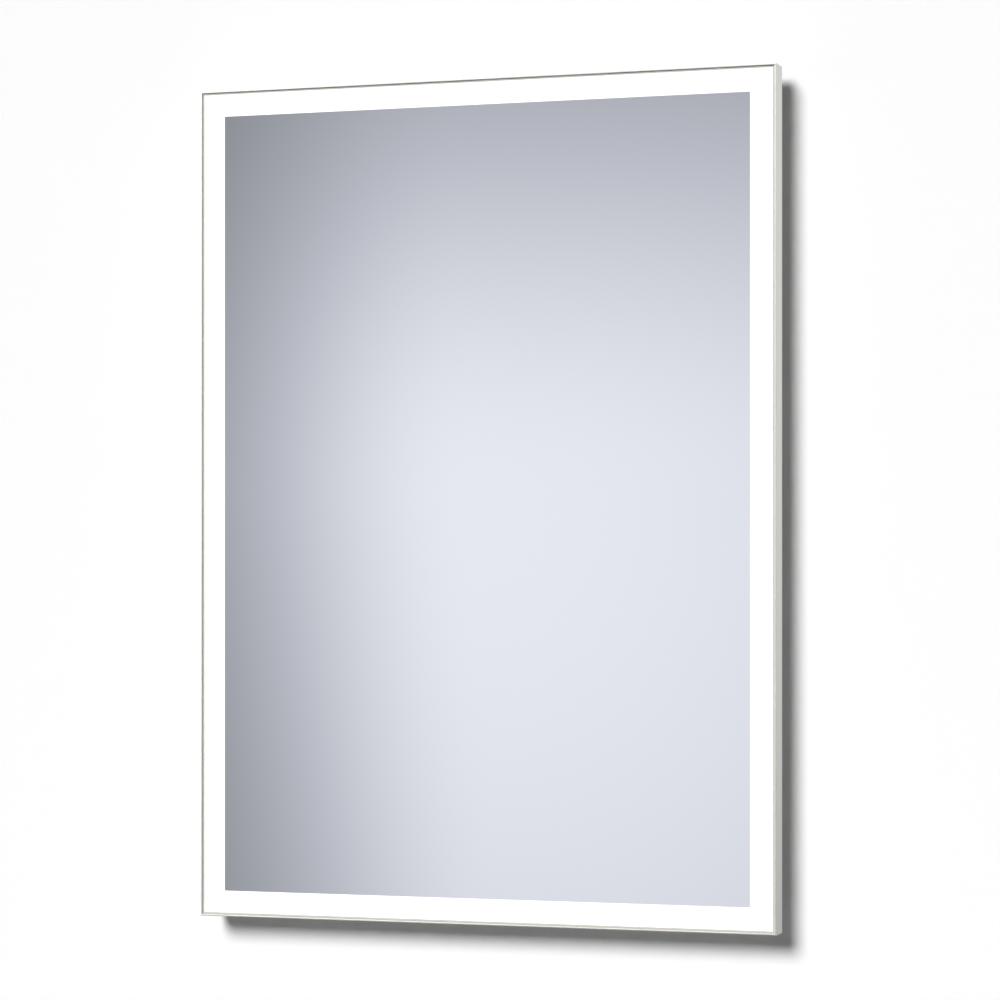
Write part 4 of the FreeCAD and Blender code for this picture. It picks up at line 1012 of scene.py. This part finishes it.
light_plastic = moulded("light_plastic", (0.86, 0.86, 0.84), (0.91, 0.91, 0.89))
for piece, node in (("supply_tray", "driver_case"), ("supply_lid", "driver_lid")):
    eased_piece(piece, node, "driver_plastic", light_plastic, 0.3 * MM)
green_board = solder_mask("green_board", (0.03, 0.24, 0.1), (0.06, 0.32, 0.14))
dress(green_board, "driver_board", "sensor_board")
tape = moulded("transformer_tape", (0.8, 0.62, 0.1), (0.88, 0.72, 0.16), 0.35, 0.01)
eased_piece("taped_transformer", "driver_transformer", "transformer_tape", tape, 0.6 * MM)
block = moulded("terminal_plastic", (0.84, 0.84, 0.82), (0.9, 0.9, 0.88), 0.3)
eased_piece("terminals", "terminal_block", "terminal_plastic", block, 0.3 * MM)


def turned_brass():
    finish = Finish("turned_brass")
    tarnish = finish.noise(finish.place(), 500.0, 3.0)
    colour = finish.mix(tarnish, (0.8, 0.62, 0.3), (0.66, 0.48, 0.22))
    return finish.surface(colour, 0.24 + tarnish * 0.14, 1.0)


dress(turned_brass(), "terminal_screws")

STRIPE_EDGE = (-13.0 * MM, -12.9 * MM)


def insulation(name, colour, second=None):
    """Extruded insulation, smooth and slightly waxy. The earth core has a stripe on its back."""
    finish = Finish(name)
    point = finish.place()
    wax = finish.noise(point, 300.0, 2.0)
    dark = tuple(0.85 * part for part in colour)
    tone = finish.mix(wax, dark, colour)
    if second:
        across, depth, up = finish.axes(point)
        stripe = depth.between(*STRIPE_EDGE)
        tone = finish.mix(stripe, tone, second)
    return finish.surface(tone, 0.36 + wax * 0.1)


dress(insulation("brown_core", (0.2, 0.09, 0.045)), "live_core")
dress(insulation("blue_core", (0.05, 0.17, 0.5)), "neutral_core")
dress(insulation("earth_core", (0.12, 0.42, 0.1), (0.75, 0.66, 0.06)), "earth_core")
dress(bright, "earth_stud", "earth_nut")

# ------------------------------------------------------------------ cable gland
# Black nylon: a hexagonal collar on the box, a lock nut inside, and a dome nut over the rubber seal.

nylon = moulded("black_nylon", (0.03, 0.03, 0.032), (0.055, 0.055, 0.058), 0.4)
eased_piece("gland_sleeve", "gland_body", "gland_plastic", nylon, 0.35 * MM)
eased_piece("gland_lock_nut", "gland_nut", "gland_plastic", nylon, 0.35 * MM)
eased_piece("gland_dome_nut", "gland_cap", "gland_plastic", nylon, 0.7 * MM, segments=3)
dress(black_rubber, "gland_seal", "panel_grommet")

# ------------------------------------------------------------------ contactless switch
# A small white housing under the lower edge with a dark window that looks down.

white_plastic = moulded("white_plastic", (0.85, 0.85, 0.83), (0.9, 0.9, 0.88))
eased_piece(
    "switch_housing", "sensor_housing", "sensor_plastic", white_plastic, 0.7 * MM, segments=3
)


def dark_window():
    finish = Finish("dark_window")
    depth = finish.noise(finish.place(), 400.0, 1.0)
    return finish.surface(
        finish.mix(depth, (0.02, 0.006, 0.01), (0.035, 0.01, 0.016)), 0.08, Coat_Weight=1.0
    )


dress(dark_window(), "sensor_lens")

# ------------------------------------------------------------------ leads and clips
# White flexible leads, held on the panel by small saddles.

lead_white = insulation("lead_white", (0.86, 0.86, 0.84))
dress(lead_white, "led_lead", "demister_lead", "led_corner_links", "sensor_lead")
eased_piece("saddles", "lead_clips", "sensor_plastic", white_plastic, 0.4 * MM)
